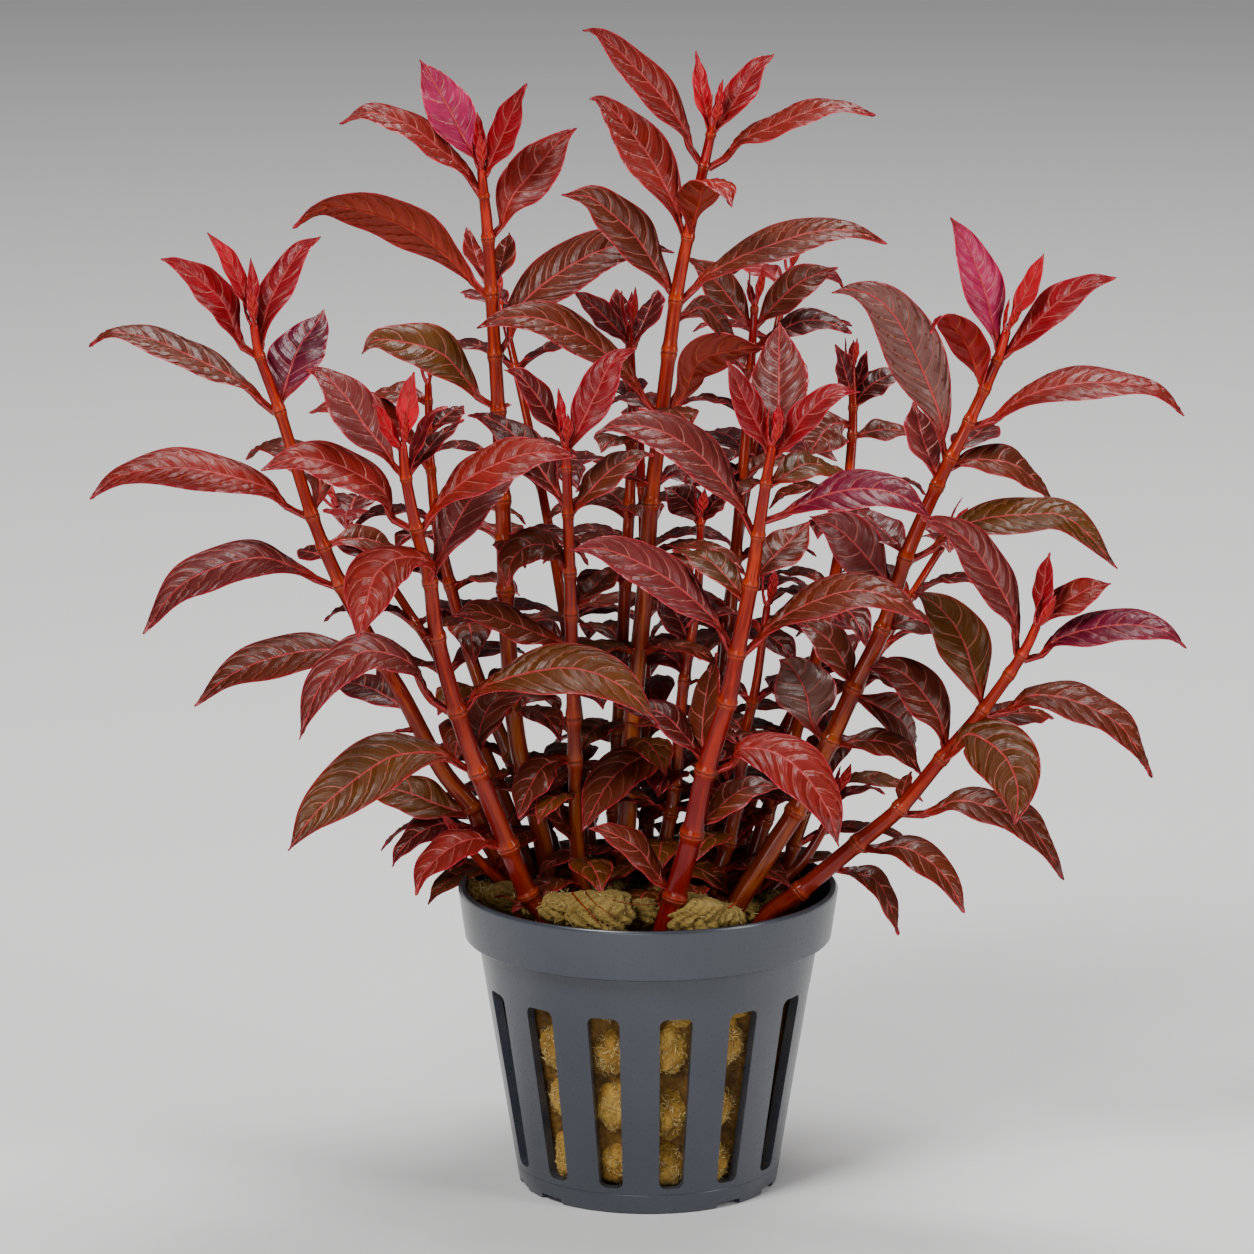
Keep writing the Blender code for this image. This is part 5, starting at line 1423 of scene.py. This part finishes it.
def top_tufts():
    """The wool's puckered lumps on top, round the feet of the near stems."""
    upward = Vector((0, 0, 1))
    return [(view_point(pixel, depth * MM), size * MM, upward) for pixel, depth, size in TOP_TUFTS]


def rear_tufts():
    """The lumps on top that lie behind them."""
    upward = Vector((0, 0, 1))
    return [(Vector((x, y, z)) * MM, size * MM, upward) for x, y, z, size in REAR_TUFTS]


def lumpy(place, amount, scale):
    """A smooth, uneven swell that depends on the place alone."""
    x, y, z = (c / scale for c in place)
    swell = math.sin(x + 1.7 * math.sin(y * 0.9 + 0.4)) + math.sin(1.3 * y + 1.1 * math.sin(z))
    swell += math.sin(1.7 * z + 1.3 * math.sin(x * 1.1))
    return amount * swell / 3


def tuft_mesh(name, tufts, grid, flat, folding, depth, lumps):
    """The lumps as one mesh: uneven balls, each drawn in along folds that meet at its crown."""
    parts = MeshParts("fluff", "crease")
    unit = bmesh.new()
    bmesh.ops.create_uvsphere(unit, u_segments=grid[0], v_segments=grid[1], radius=1.0)
    directions = [vertex.co.copy() for vertex in unit.verts]
    corners = sorted(tuple(vertex.index for vertex in face.verts) for face in unit.faces)
    unit.free()
    for place, size, outward in tufts:
        first = len(parts.points)
        crown = (outward + Vector(rng.normal(size=3)) * CROWN_SWAY).normalized()
        beside = crown.orthogonal().normalized()
        ahead = crown.cross(beside)
        folds = rng.integers(*folding)
        phase = rng.uniform(0, math.tau)
        for way in directions:
            across = math.sqrt(max(0.0, 1 - way.dot(crown) ** 2))
            turn = math.atan2(way.dot(ahead), way.dot(beside))
            turn += phase + FOLD_WANDER * math.sin(FOLD_TURNS * way.dot(crown) + phase)
            fold = (1 - abs(math.sin(turn * folds / 2))) ** FOLD_SHARPNESS * across
            fold += CROWN_DIP * (1 - across) ** 3
            spot = place + way * size
            swell = sum(lumpy(spot, amount * size, scale) for amount, scale in WOOL_LUMPS)
            spot = spot + way * (swell * lumps - depth * size * fold)
            spot.z = place.z + (spot.z - place.z) * flat
            parts.add(in_pot(spot), fluff=0.0, crease=min(1.0, fold))
        parts.faces += [tuple(first + index for index in face) for face in corners]
    return parts.mesh(name)


def in_pot(spot):
    """The same place, drawn in where it would pass into the pot's wall."""
    reach = math.hypot(spot.x, spot.y)
    limit = inner_radius(min(spot.z, COLLAR_FOOT)) - WALL_CLEARANCE
    if spot.z > COLLAR_FOOT + MM:
        limit = RIM_RADIUS - POT_WALL - RIM_CLEARANCE
    if reach <= limit:
        return spot
    return Vector((spot.x * limit / reach, spot.y * limit / reach, spot.z))


def fibre_mesh(name, tufts, flat, per_tuft):
    """Short curled fibres that stand off the lumps, each a bent strand that ends in a point."""
    parts = MeshParts("fluff", "crease")
    for place, size, outward in tufts:
        for _ in range(per_tuft):
            way = Vector(rng.normal(size=3)).normalized()
            if way.dot(outward) < FIBRE_OUTWARD:
                continue
            root = place + way * size * FIBRE_ROOT
            root.z = place.z + (root.z - place.z) * flat
            lie = square_to(Vector(rng.normal(size=3)), way)
            length = rng.uniform(*FIBRE_LENGTHS) * MM
            thick = rng.uniform(*FIBRE_THICKNESS) * MM
            shade = rng.uniform(*FIBRE_SHADES)
            bend = rng.uniform(*FIBRE_BENDS)
            rings = []
            for t in (0.0, 0.5):
                rise = way * math.sin(bend * (1 - FIBRE_STRAIGHTENING * t)) + lie * math.cos(bend)
                spot = in_pot(root + rise * length * t)
                rings.append([
                    parts.add(spot + offset * thick * (1 - FIBRE_TAPER * t), fluff=shade, crease=0.0)
                    for offset in (way.cross(lie), lie.cross(way), way)])
            rise = way * math.sin(bend * (1 - FIBRE_STRAIGHTENING)) + lie * math.cos(bend)
            tip = parts.add(in_pot(root + rise * length), fluff=shade, crease=0.0)
            for corner in range(3):
                beside = (corner + 1) % 3
                parts.faces.append((
                    rings[0][corner], rings[0][beside], rings[1][beside], rings[1][corner]))
                parts.faces.append((rings[1][corner], rings[1][beside], tip))
    return parts.mesh(name)


def core_mesh():
    """The middle of the plug, that presses on the pot's bars and lies back behind its slots."""
    parts = MeshParts("fluff", "crease")
    at_bar, at_slot = CORE_INSET
    rings = []
    for height in CORE_HEIGHTS:
        ring = []
        for side in range(CORE_SIDES):
            turn = FIRST_SLOT_ANGLE + math.tau * side / CORE_SIDES
            behind_slot = 0.5 + 0.5 * math.cos(SLOTS * (turn - FIRST_SLOT_ANGLE))
            reach = inner_radius(height) - at_bar - (at_slot - at_bar) * behind_slot
            spot = Vector((reach * math.cos(turn), reach * math.sin(turn), height))
            spot.z += lumpy(spot, *CORE_LUMPS) if height > CORE_LUMPS_ABOVE else 0.0
            ring.append(parts.add(spot, fluff=0.0, crease=0.0))
        rings.append(ring)
    apex = parts.add(Vector((0, 0, CORE_TOP)), fluff=0.0, crease=0.0)
    for side in range(CORE_SIDES):
        beside = (side + 1) % CORE_SIDES
        parts.faces.append((apex, rings[0][side], rings[0][beside]))
        for ring, following in zip(rings, rings[1:]):
            parts.faces.append((ring[side], following[side], following[beside], ring[beside]))
    parts.faces.append(tuple(reversed(rings[-1])))
    return parts.mesh("wool_core")


def root_mesh():
    """A few loose roots and shed bits that lie on the wool."""
    parts = MeshParts("rise", "crease", "joint", "flush", "amber", "skin")
    for route, radius, shade in ROOTS:
        points = [view_point(pixel, depth * MM) for *pixel, depth in route]
        spine = curve_through(points, ROOT_SAMPLES)
        normal = direction(spine, 0).orthogonal()
        rings = []
        for index, spot in enumerate(spine):
            along = direction(spine, index)
            normal = square_to(normal, along)
            beside = along.cross(normal)
            width = radius * MM * (1 - ROOT_TAPER * index / len(spine))
            ring = []
            for side in range(ROOT_SIDES):
                turn = math.tau * side / ROOT_SIDES
                place = spot + (normal * math.cos(turn) + beside * math.sin(turn)) * width
                skin = (math.cos(turn), math.sin(turn), index / SPINE_SAMPLES)
                ring.append(parts.add(
                    place, rise=shade, crease=0.0, joint=0.0, flush=0.0, amber=ROOT_AMBER,
                    skin=skin))
            rings.append(ring)
        close_tube(parts, rings)
    return parts.mesh("loose_roots")


# Materials

class Nodes:
    """Short calls for adding nodes to one tree."""

    def __init__(self, tree):
        self.tree = tree

    def add(self, kind, inputs=None, **settings):
        """A new node with its settings, and each input linked or set."""
        node = self.tree.nodes.new(kind)
        for key, value in settings.items():
            setattr(node, key, value)
        for key, value in (inputs or {}).items():
            if isinstance(value, bpy.types.NodeSocket):
                self.tree.links.new(value, node.inputs[key])
            else:
                node.inputs[key].default_value = value
        return node

    def math(self, operation, *values):
        """The result of one sum."""
        return self.add("ShaderNodeMath", dict(enumerate(values)), operation=operation).outputs[0]

    def plus(self, base, mask, amount):
        """A value that rises by an amount where a mask is 1, or falls if the amount is below 0."""
        return self.math("ADD", base, self.math("MULTIPLY", mask, amount))

    def step(self, value, low, high):
        """0 below low and 1 above high, or the other way round where low is the larger."""
        inputs = {"Value": value, "From Min": low, "From Max": high}
        node = self.add("ShaderNodeMapRange", inputs, interpolation_type="SMOOTHSTEP")
        return node.outputs["Result"]

    def mix(self, share, first, second):
        """A colour between two."""
        return self.add("ShaderNodeMix", {0: share, 6: first, 7: second}, data_type="RGBA").outputs[2]

    def tint(self, colour, mask, amount, other):
        """A colour drawn towards another, given as a screen shows it, where a mask is high."""
        return self.mix(self.math("MULTIPLY", mask, amount), colour, srgb(*other))

    def bump(self, height, distance, strength):
        """A normal that follows a height."""
        inputs = {"Height": height, "Distance": distance, "Strength": strength}
        return self.add("ShaderNodeBump", inputs).outputs["Normal"]

    def group(self, tree, inputs):
        """The outputs of a node group that is placed in this tree."""
        return self.add("ShaderNodeGroup", inputs, node_tree=tree).outputs

    def attribute(self, name, output="Fac"):
        """A value stored on the mesh's points."""
        return self.add("ShaderNodeAttribute", attribute_name=name).outputs[output]

    def place(self):
        """The place on the object."""
        return self.add("ShaderNodeTexCoord").outputs["Object"]

    def noise(self, place, scale, detail, rough=0.55):
        """Smooth unevenness from 0 to 1."""
        inputs = {"Vector": place, "Scale": scale, "Detail": detail, "Roughness": rough}
        return self.add("ShaderNodeTexNoise", inputs).outputs["Fac"]


def new_group(name, inputs, outputs):
    """An empty node group with named sockets, and its input and output nodes."""
    group = bpy.data.node_groups.new(name, "ShaderNodeTree")
    for socket, kind in inputs:
        group.interface.new_socket(socket, in_out="INPUT", socket_type="NodeSocket" + kind)
    for socket, kind in outputs:
        group.interface.new_socket(socket, in_out="OUTPUT", socket_type="NodeSocket" + kind)
    nodes = Nodes(group)
    return group, nodes, nodes.add("NodeGroupInput").outputs, nodes.add("NodeGroupOutput").inputs


def mottle_group():
    """Broad and fine unevenness of a surface, as two masks, and a grain for its bump."""
    group, nodes, given, put = new_group(
        "natural_mottle",
        [("Place", "Vector"), ("Broad Scale", "Float"), ("Fine Scale", "Float")],
        [("Broad", "Float"), ("Fine", "Float"), ("Grain", "Float")])
    broad = nodes.noise(given["Place"], given["Broad Scale"], 3.0)
    fine = nodes.noise(given["Place"], given["Fine Scale"], 4.0, 0.6)
    inputs = {"Vector": given["Place"], "Scale": given["Fine Scale"]}
    cells = nodes.add("ShaderNodeTexVoronoi", inputs)
    links = group.links
    links.new(nodes.step(broad, 0.35, 0.65), put["Broad"])
    links.new(nodes.step(fine, 0.3, 0.7), put["Fine"])
    links.new(nodes.math("MULTIPLY", cells.outputs["Distance"], fine), put["Grain"])
    return group


def vein_group():
    """Masks for a leaf's midrib, veins, margin, tip and stalk, and the swell between veins."""
    group, nodes, given, put = new_group(
        "leaf_veins",
        [("Place", "Vector"), ("Blade", "Vector"), ("Habit", "Vector")],
        [("Rib", "Float"), ("Vein", "Float"), ("Fine Vein And Sheen", "Float"), ("Blush", "Float"),
         ("Margin And Highlight", "Float"), ("Tip", "Float"), ("Stalk", "Float"), ("Swell", "Float"),
         ("Under", "Float")])
    blade = nodes.add("ShaderNodeSeparateXYZ", {0: given["Blade"]}).outputs
    habit = nodes.add("ShaderNodeSeparateXYZ", {0: given["Habit"]}).outputs
    along = blade["X"]
    away = nodes.math("ABSOLUTE", blade["Y"])
    bent = nodes.math("MULTIPLY", away, VEIN_LEAN)
    bent = nodes.plus(bent, nodes.math("POWER", away, 3.0), VEIN_ARC)
    right = nodes.math("MULTIPLY", nodes.math("GREATER_THAN", blade["Y"], 0.0), 0.5)
    wander = nodes.math("SUBTRACT", nodes.noise(given["Place"], 420.0, 2.0), 0.5)
    count = nodes.math("MULTIPLY", nodes.math("SUBTRACT", along, bent), habit["X"])
    count = nodes.math("ADD", nodes.math("ADD", count, right), habit["Y"])
    count = nodes.plus(count, wander, 0.16)
    part = nodes.math("FRACT", nodes.math("ADD", count, 0.5))
    off = nodes.math("ABSOLUTE", nodes.math("SUBTRACT", part, 0.5))
    fade = nodes.math("MULTIPLY", nodes.step(away, 0.96, 0.7), nodes.step(along, 0.14, 0.22))
    from_rib = nodes.plus(nodes.math("MULTIPLY", away, habit["Z"]), along, 0.1)
    from_edge = nodes.math("MULTIPLY", nodes.math("SUBTRACT", 1.0, away), habit["Z"])
    ripple = nodes.math("FRACT", nodes.math("MULTIPLY", count, 5.0))
    ripple = nodes.math("MULTIPLY", nodes.math("ABSOLUTE", nodes.math("SUBTRACT", ripple, 0.5)), 2.0)
    links = group.links
    links.new(nodes.math("MULTIPLY", nodes.step(off, 0.062, 0.01), fade), put["Vein"])
    links.new(nodes.math("MULTIPLY", nodes.step(ripple, 0.25, 0.95), fade), put["Fine Vein And Sheen"])
    links.new(nodes.step(off, 0.02, 0.4), put["Swell"])
    links.new(nodes.step(from_rib, 0.27, 0.12), put["Rib"])
    links.new(nodes.step(from_edge, 0.8, 0.1), put["Blush"])
    links.new(nodes.step(from_edge, 0.17, 0.06), put["Margin And Highlight"])
    links.new(nodes.step(along, 0.93, 1.0), put["Tip"])
    links.new(nodes.step(along, 0.24, 0.08), put["Stalk"])
    links.new(blade["Z"], put["Under"])
    return group


def streak_group():
    """Long fine streaks that run along a stem, from a place on its skin."""
    group, nodes, given, put = new_group(
        "stem_streaks", [("Skin", "Vector"), ("Count", "Float")], [("Streak", "Float")])
    streak = nodes.noise(given["Skin"], given["Count"], 2.0, 0.5)
    group.links.new(nodes.step(streak, 0.42, 0.6), put["Streak"])
    return group


def new_material(name, **fixed):
    """A material with its Principled shader, and values that are the same all over."""
    material = bpy.data.materials.new(name)
    material.use_nodes = True
    shader = material.node_tree.nodes["Principled BSDF"]
    for socket, value in fixed.items():
        shader.inputs[socket.replace("_", " ")].default_value = value
    return material, Nodes(material.node_tree), shader.inputs


def leaf_material(veins, mottle):
    """Glossy leaves: mottled, with pale veins and fine pale lines between them that are partly
    painted sheen, a red midrib, tip and stalk, and a red margin lightened by a painted highlight.
    """
    material, nodes, shader = new_material("glossy_leaf", Specular_IOR_Level=0.3)
    links = material.node_tree.links
    place = nodes.place()
    uneven = nodes.group(mottle, {"Place": place, "Broad Scale": 230.0, "Fine Scale": 1500.0})
    masks = nodes.group(veins, {
        "Place": place, "Blade": nodes.attribute("blade", "Vector"),
        "Habit": nodes.attribute("habit", "Vector")})
    top = nodes.tint(nodes.attribute("tone", "Color"), uneven["Broad"], 0.34, (62, 22, 12))
    # Painted sheen: fine pale lines between the veins. They are partly the leaf's fine veins and
    # partly the sheen that light lays on the quilted blade.
    top = nodes.tint(top, masks["Fine Vein And Sheen"], 0.09, (150, 82, 70))
    top = nodes.tint(top, masks["Vein"], 0.55, (190, 100, 84))
    top = nodes.tint(top, masks["Rib"], 0.8, (190, 64, 64))
    low = nodes.tint(nodes.attribute("under", "Color"), masks["Vein"], 0.5, (182, 84, 44))
    low = nodes.tint(low, masks["Rib"], 0.7, (178, 44, 24))
    colour = nodes.mix(masks["Under"], top, low)
    colour = nodes.tint(colour, uneven["Fine"], 0.1, (30, 10, 8))
    blush = nodes.math("MAXIMUM", nodes.math("MULTIPLY", masks["Blush"], 0.4), masks["Tip"])
    colour = nodes.tint(colour, blush, 0.8, (158, 12, 36))
    colour = nodes.tint(colour, masks["Stalk"], 0.75, (150, 28, 14))
    # Painted highlight: the margin is the leaf's own red line, lightened to pale pink as if lit from
    # behind.
    colour = nodes.tint(colour, masks["Margin And Highlight"], 0.75, (198, 60, 68))
    links.new(colour, shader["Base Color"])
    rough = nodes.plus(nodes.plus(0.31, uneven["Fine"], 0.1), masks["Under"], 0.2)
    links.new(rough, shader["Roughness"])
    height = nodes.math("MULTIPLY", masks["Swell"], 1.2)
    for mask, amount in (("Rib", -0.5), ("Fine Vein And Sheen", -0.07), ("Vein", -0.35)):
        height = nodes.plus(height, masks[mask], amount)
    height = nodes.plus(height, uneven["Grain"], 0.14)
    links.new(nodes.bump(height, 0.26 * MM, 0.85), shader["Normal"])
    return material


def stem_material(streaks, mottle):
    """Glossy stems: amber at the foot and red above, with dark streaks and creases, painted shade
    towards their outline, a painted highlight on their joints and painted light at their feet.
    """
    material, nodes, shader = new_material(
        "glossy_stem", Specular_IOR_Level=0.07, Coat_Roughness=0.09)
    links = material.node_tree.links
    inputs = {"Place": nodes.place(), "Broad Scale": 160.0, "Fine Scale": 1700.0}
    uneven = nodes.group(mottle, inputs)
    streak = nodes.group(streaks, {"Skin": nodes.attribute("skin", "Vector"), "Count": 1.9})
    wander = nodes.math("SUBTRACT", uneven["Broad"], 0.5)
    rise = nodes.plus(nodes.attribute("rise"), wander, 0.1)
    ramp = nodes.add("ShaderNodeValToRGB", {"Fac": rise})
    stops = ramp.color_ramp.elements
    stops[0].position = 0.0
    stops[0].color = srgb(*STEM_FOOT_COLOUR)
    stops[1].position = 1.0
    stops[1].color = srgb(*STEM_TOP_COLOUR)
    for position, colour in STEM_RAMP:
        stops.new(position).color = srgb(*colour)
    colour = nodes.mix(nodes.attribute("amber"), ramp.outputs["Color"], srgb(148, 74, 12))
    colour = nodes.tint(colour, streak["Streak"], 0.7, (96, 2, 10))
    colour = nodes.tint(colour, nodes.attribute("flush"), 0.55, (110, 6, 12))
    # Painted shade: towards the outline the colour is drawn to dark crimson. This is the stem's own
    # crimson rind, with painted shade that leaves the middle lighter, as if light shone through the
    # stem.
    side = nodes.add("ShaderNodeLayerWeight", {"Blend": 0.74}).outputs["Facing"]
    colour = nodes.tint(colour, side, 0.9, (84, 1, 12))
    colour = nodes.tint(colour, uneven["Fine"], 0.12, (50, 12, 6))
    # Partly painted highlight: the swollen joints are paled towards orange, for their pale leaf scars
    # and for the light that catches the swelling.
    colour = nodes.tint(colour, nodes.attribute("joint"), 0.24, (206, 84, 40))
    colour = nodes.tint(colour, nodes.attribute("crease"), 0.7, (60, 12, 6))
    links.new(colour, shader["Base Color"])
    links.new(nodes.plus(0.24, uneven["Fine"], 0.14), shader["Roughness"])
    links.new(nodes.plus(0.2, uneven["Broad"], 0.2), shader["Coat Weight"])
    height = nodes.plus(uneven["Grain"], streak["Streak"], 0.8)
    links.new(nodes.bump(height, 0.05 * MM, 0.7), shader["Normal"])
    return material


def pot_material(mottle):
    """Smooth slate-coloured plastic with a soft shine."""
    material, nodes, shader = new_material("slate_plastic", Specular_IOR_Level=0.55)
    links = material.node_tree.links
    inputs = {"Place": nodes.place(), "Broad Scale": 45.0, "Fine Scale": 2600.0}
    uneven = nodes.group(mottle, inputs)
    colour = nodes.tint(srgb(50, 54, 62), uneven["Broad"], 0.5, (58, 62, 71))
    colour = nodes.tint(colour, uneven["Fine"], 0.07, (42, 46, 54))
    links.new(colour, shader["Base Color"])
    links.new(nodes.plus(0.27, uneven["Fine"], 0.03), shader["Roughness"])
    links.new(nodes.bump(uneven["Grain"], 0.005 * MM, 0.3), shader["Normal"])
    return material


def wool_material(mottle):
    """Ochre wool, greyer where it lies open on top, darkened in its folds as painted shade and pale
    in its fibres.
    """
    material, nodes, shader = new_material(
        "fuzzy_mineral_wool", Specular_IOR_Level=0.3, Sheen_Weight=0.25, Sheen_Roughness=0.5,
        Sheen_Tint=srgb(236, 214, 150))
    links = material.node_tree.links
    place = nodes.place()
    uneven = nodes.group(mottle, {"Place": place, "Broad Scale": 230.0, "Fine Scale": 1900.0})
    colour = nodes.mix(uneven["Broad"], srgb(148, 108, 36), srgb(188, 150, 68))
    height = nodes.add("ShaderNodeSeparateXYZ", {0: place}).outputs["Z"]
    colour = nodes.tint(colour, nodes.step(height, 32.0 * MM, 36.5 * MM), 0.8, (142, 122, 62))
    colour = nodes.tint(colour, uneven["Fine"], 0.4, (112, 76, 22))
    # Painted shade: the wool is darkened in the folds of its lumps, where shade falls.
    colour = nodes.tint(colour, nodes.attribute("crease"), 0.85, (84, 54, 14))
    colour = nodes.tint(colour, nodes.attribute("fluff"), 0.85, (236, 212, 148))
    links.new(colour, shader["Base Color"])
    links.new(nodes.plus(0.7, uneven["Fine"], 0.2), shader["Roughness"])
    links.new(nodes.bump(uneven["Grain"], 0.5 * MM, 0.9), shader["Normal"])
    return material


def core_material(mottle):
    """Wool in painted shade: the ochre of the wool darkened, as the wool looks in the shade between
    its lumps.
    """
    material, nodes, shader = new_material("wool_core_painted_shade", Specular_IOR_Level=0.3)
    links = material.node_tree.links
    inputs = {"Place": nodes.place(), "Broad Scale": 300.0, "Fine Scale": 1400.0}
    uneven = nodes.group(mottle, inputs)
    # Painted shade: both colours are the wool's ochre as it looks in shade.
    colour = nodes.mix(uneven["Broad"], srgb(78, 52, 14), srgb(116, 82, 28))
    colour = nodes.tint(colour, uneven["Fine"], 0.4, (40, 26, 8))
    links.new(colour, shader["Base Color"])
    links.new(nodes.plus(0.6, uneven["Fine"], 0.3), shader["Roughness"])
    links.new(nodes.bump(uneven["Grain"], 0.4 * MM, 0.9), shader["Normal"])
    return material


def floor_material():
    """A pale matt floor."""
    material, nodes, shader = new_material("pale_floor", Specular_IOR_Level=0.2, Roughness=0.7)
    shaded = tuple(c * FLOOR_SHADE for c in FLOOR_COLOUR[:3]) + (1.0,)
    colour = nodes.mix(nodes.noise(nodes.place(), 6.0, 2.0), FLOOR_COLOUR, shaded)
    material.node_tree.links.new(colour, shader["Base Color"])
    return material


# The scene

def make_camera():
    """The camera, at the viewpoint of the photograph."""
    data = bpy.data.cameras.new("photograph_view")
    data.sensor_width = SENSOR_WIDTH
    data.lens = PIXELS_PER_TANGENT / FRAME_WIDTH * SENSOR_WIDTH
    data.clip_start = 0.05
    data.clip_end = 50.0
    camera = bpy.data.objects.new("photograph_view", data)
    camera.location = EYE
    camera.rotation_euler = (math.pi / 2 - EYE_PITCH, 0.0, 0.0)
    bpy.context.scene.collection.objects.link(camera)
    bpy.context.scene.camera = camera


def make_floor():
    """The floor that the pot stands on, which is no part of the plant."""
    work = bmesh.new()
    bmesh.ops.create_grid(work, x_segments=8, y_segments=8, size=FLOOR_SIZE)
    mesh = bpy.data.meshes.new("floor")
    work.to_mesh(mesh)
    work.free()
    mesh.materials.append(floor_material())
    floor = bpy.data.objects.new("floor", mesh)
    bpy.context.scene.collection.objects.link(floor)


def make_light(name, place, aim, size, power):
    """A white softbox that is turned towards its aim."""
    data = bpy.data.lights.new(name, "AREA")
    data.shape = "RECTANGLE"
    data.size = size[0]
    data.size_y = size[1]
    data.energy = power
    light = bpy.data.objects.new(name, data)
    light.location = place
    light.rotation_euler = (Vector(aim) - Vector(place)).to_track_quat("-Z", "Y").to_euler()
    bpy.context.scene.collection.objects.link(light)


def make_world():
    """A dim, slightly cool surrounding light."""
    world = bpy.data.worlds.new("studio")
    world.use_nodes = True
    background = world.node_tree.nodes["Background"]
    background.inputs["Color"].default_value = WORLD_COLOUR
    background.inputs["Strength"].default_value = WORLD_STRENGTH
    bpy.context.scene.world = world


rng = np.random.default_rng(SEED)
corner_trees = {}
make_camera()
make_world()
make_floor()
for light in LIGHTS:
    make_light(*light)

mottle = mottle_group()
leaf_look = leaf_material(vein_group(), mottle)
stem_look = stem_material(streak_group(), mottle)
pot_look = pot_material(mottle)
wool_look = wool_material(mottle)
core_look = core_material(mottle)

lines = {name: photo_stem(stem) for name, stem in STEMS.items()}
lines.update({name: rear_stem(shoot) for name, shoot in REAR_SHOOTS.items()})
blades = all_blades(lines)
add_bud_leaves(lines, blades)
add_filling_leaves(lines, blades)

for name, line in lines.items():
    node = name + "_stem"
    grown = list(blades[node])
    for key, found in blades.items():
        if key.startswith(name + "_leaf_"):
            grown += found
    stalk = stalk_mesh(name + "_stalk", line, joint_shares(name, line, grown))
    new_piece(name + "_stalk", stalk, stem_look, [node])
for node, found in blades.items():
    if not found:
        continue
    name = node[:-len("_stem")] + "_leaves" if node.endswith("_stem") else node + "_blade"
    new_piece(name, foliage_mesh(name, found), leaf_look, [node])

new_piece("finished_pot", pot_mesh(), pot_look, ["net_pot"])
new_piece("wool_core", core_mesh(), core_look, ["rockwool"])
for name, tufts, grid, flat, folding, depth, lumps, per_tuft in (
        ("side_wool", side_tufts(), SIDE_GRID, 1.0, SIDE_FOLDS, SIDE_FOLD_DEPTH, SIDE_LUMPS,
         SIDE_FIBRES),
        ("top_wool", top_tufts(), TOP_GRID, TOP_FLATNESS, TOP_FOLDS, TOP_FOLD_DEPTH, TOP_LUMPS,
         TOP_FIBRES),
        ("rear_wool", rear_tufts(), REAR_GRID, TOP_FLATNESS, TOP_FOLDS, TOP_FOLD_DEPTH, TOP_LUMPS,
         TOP_FIBRES)):
    lumps_mesh = tuft_mesh(name, tufts, grid, flat, folding, depth, lumps)
    new_piece(name, lumps_mesh, wool_look, ["rockwool"])
    fibres = fibre_mesh(name + "_fibres", tufts, flat, per_tuft)
    new_piece(name + "_fibres", fibres, wool_look, ["rockwool"])
new_piece("loose_roots", root_mesh(), stem_look, [])

bpy.context.view_layer.update()
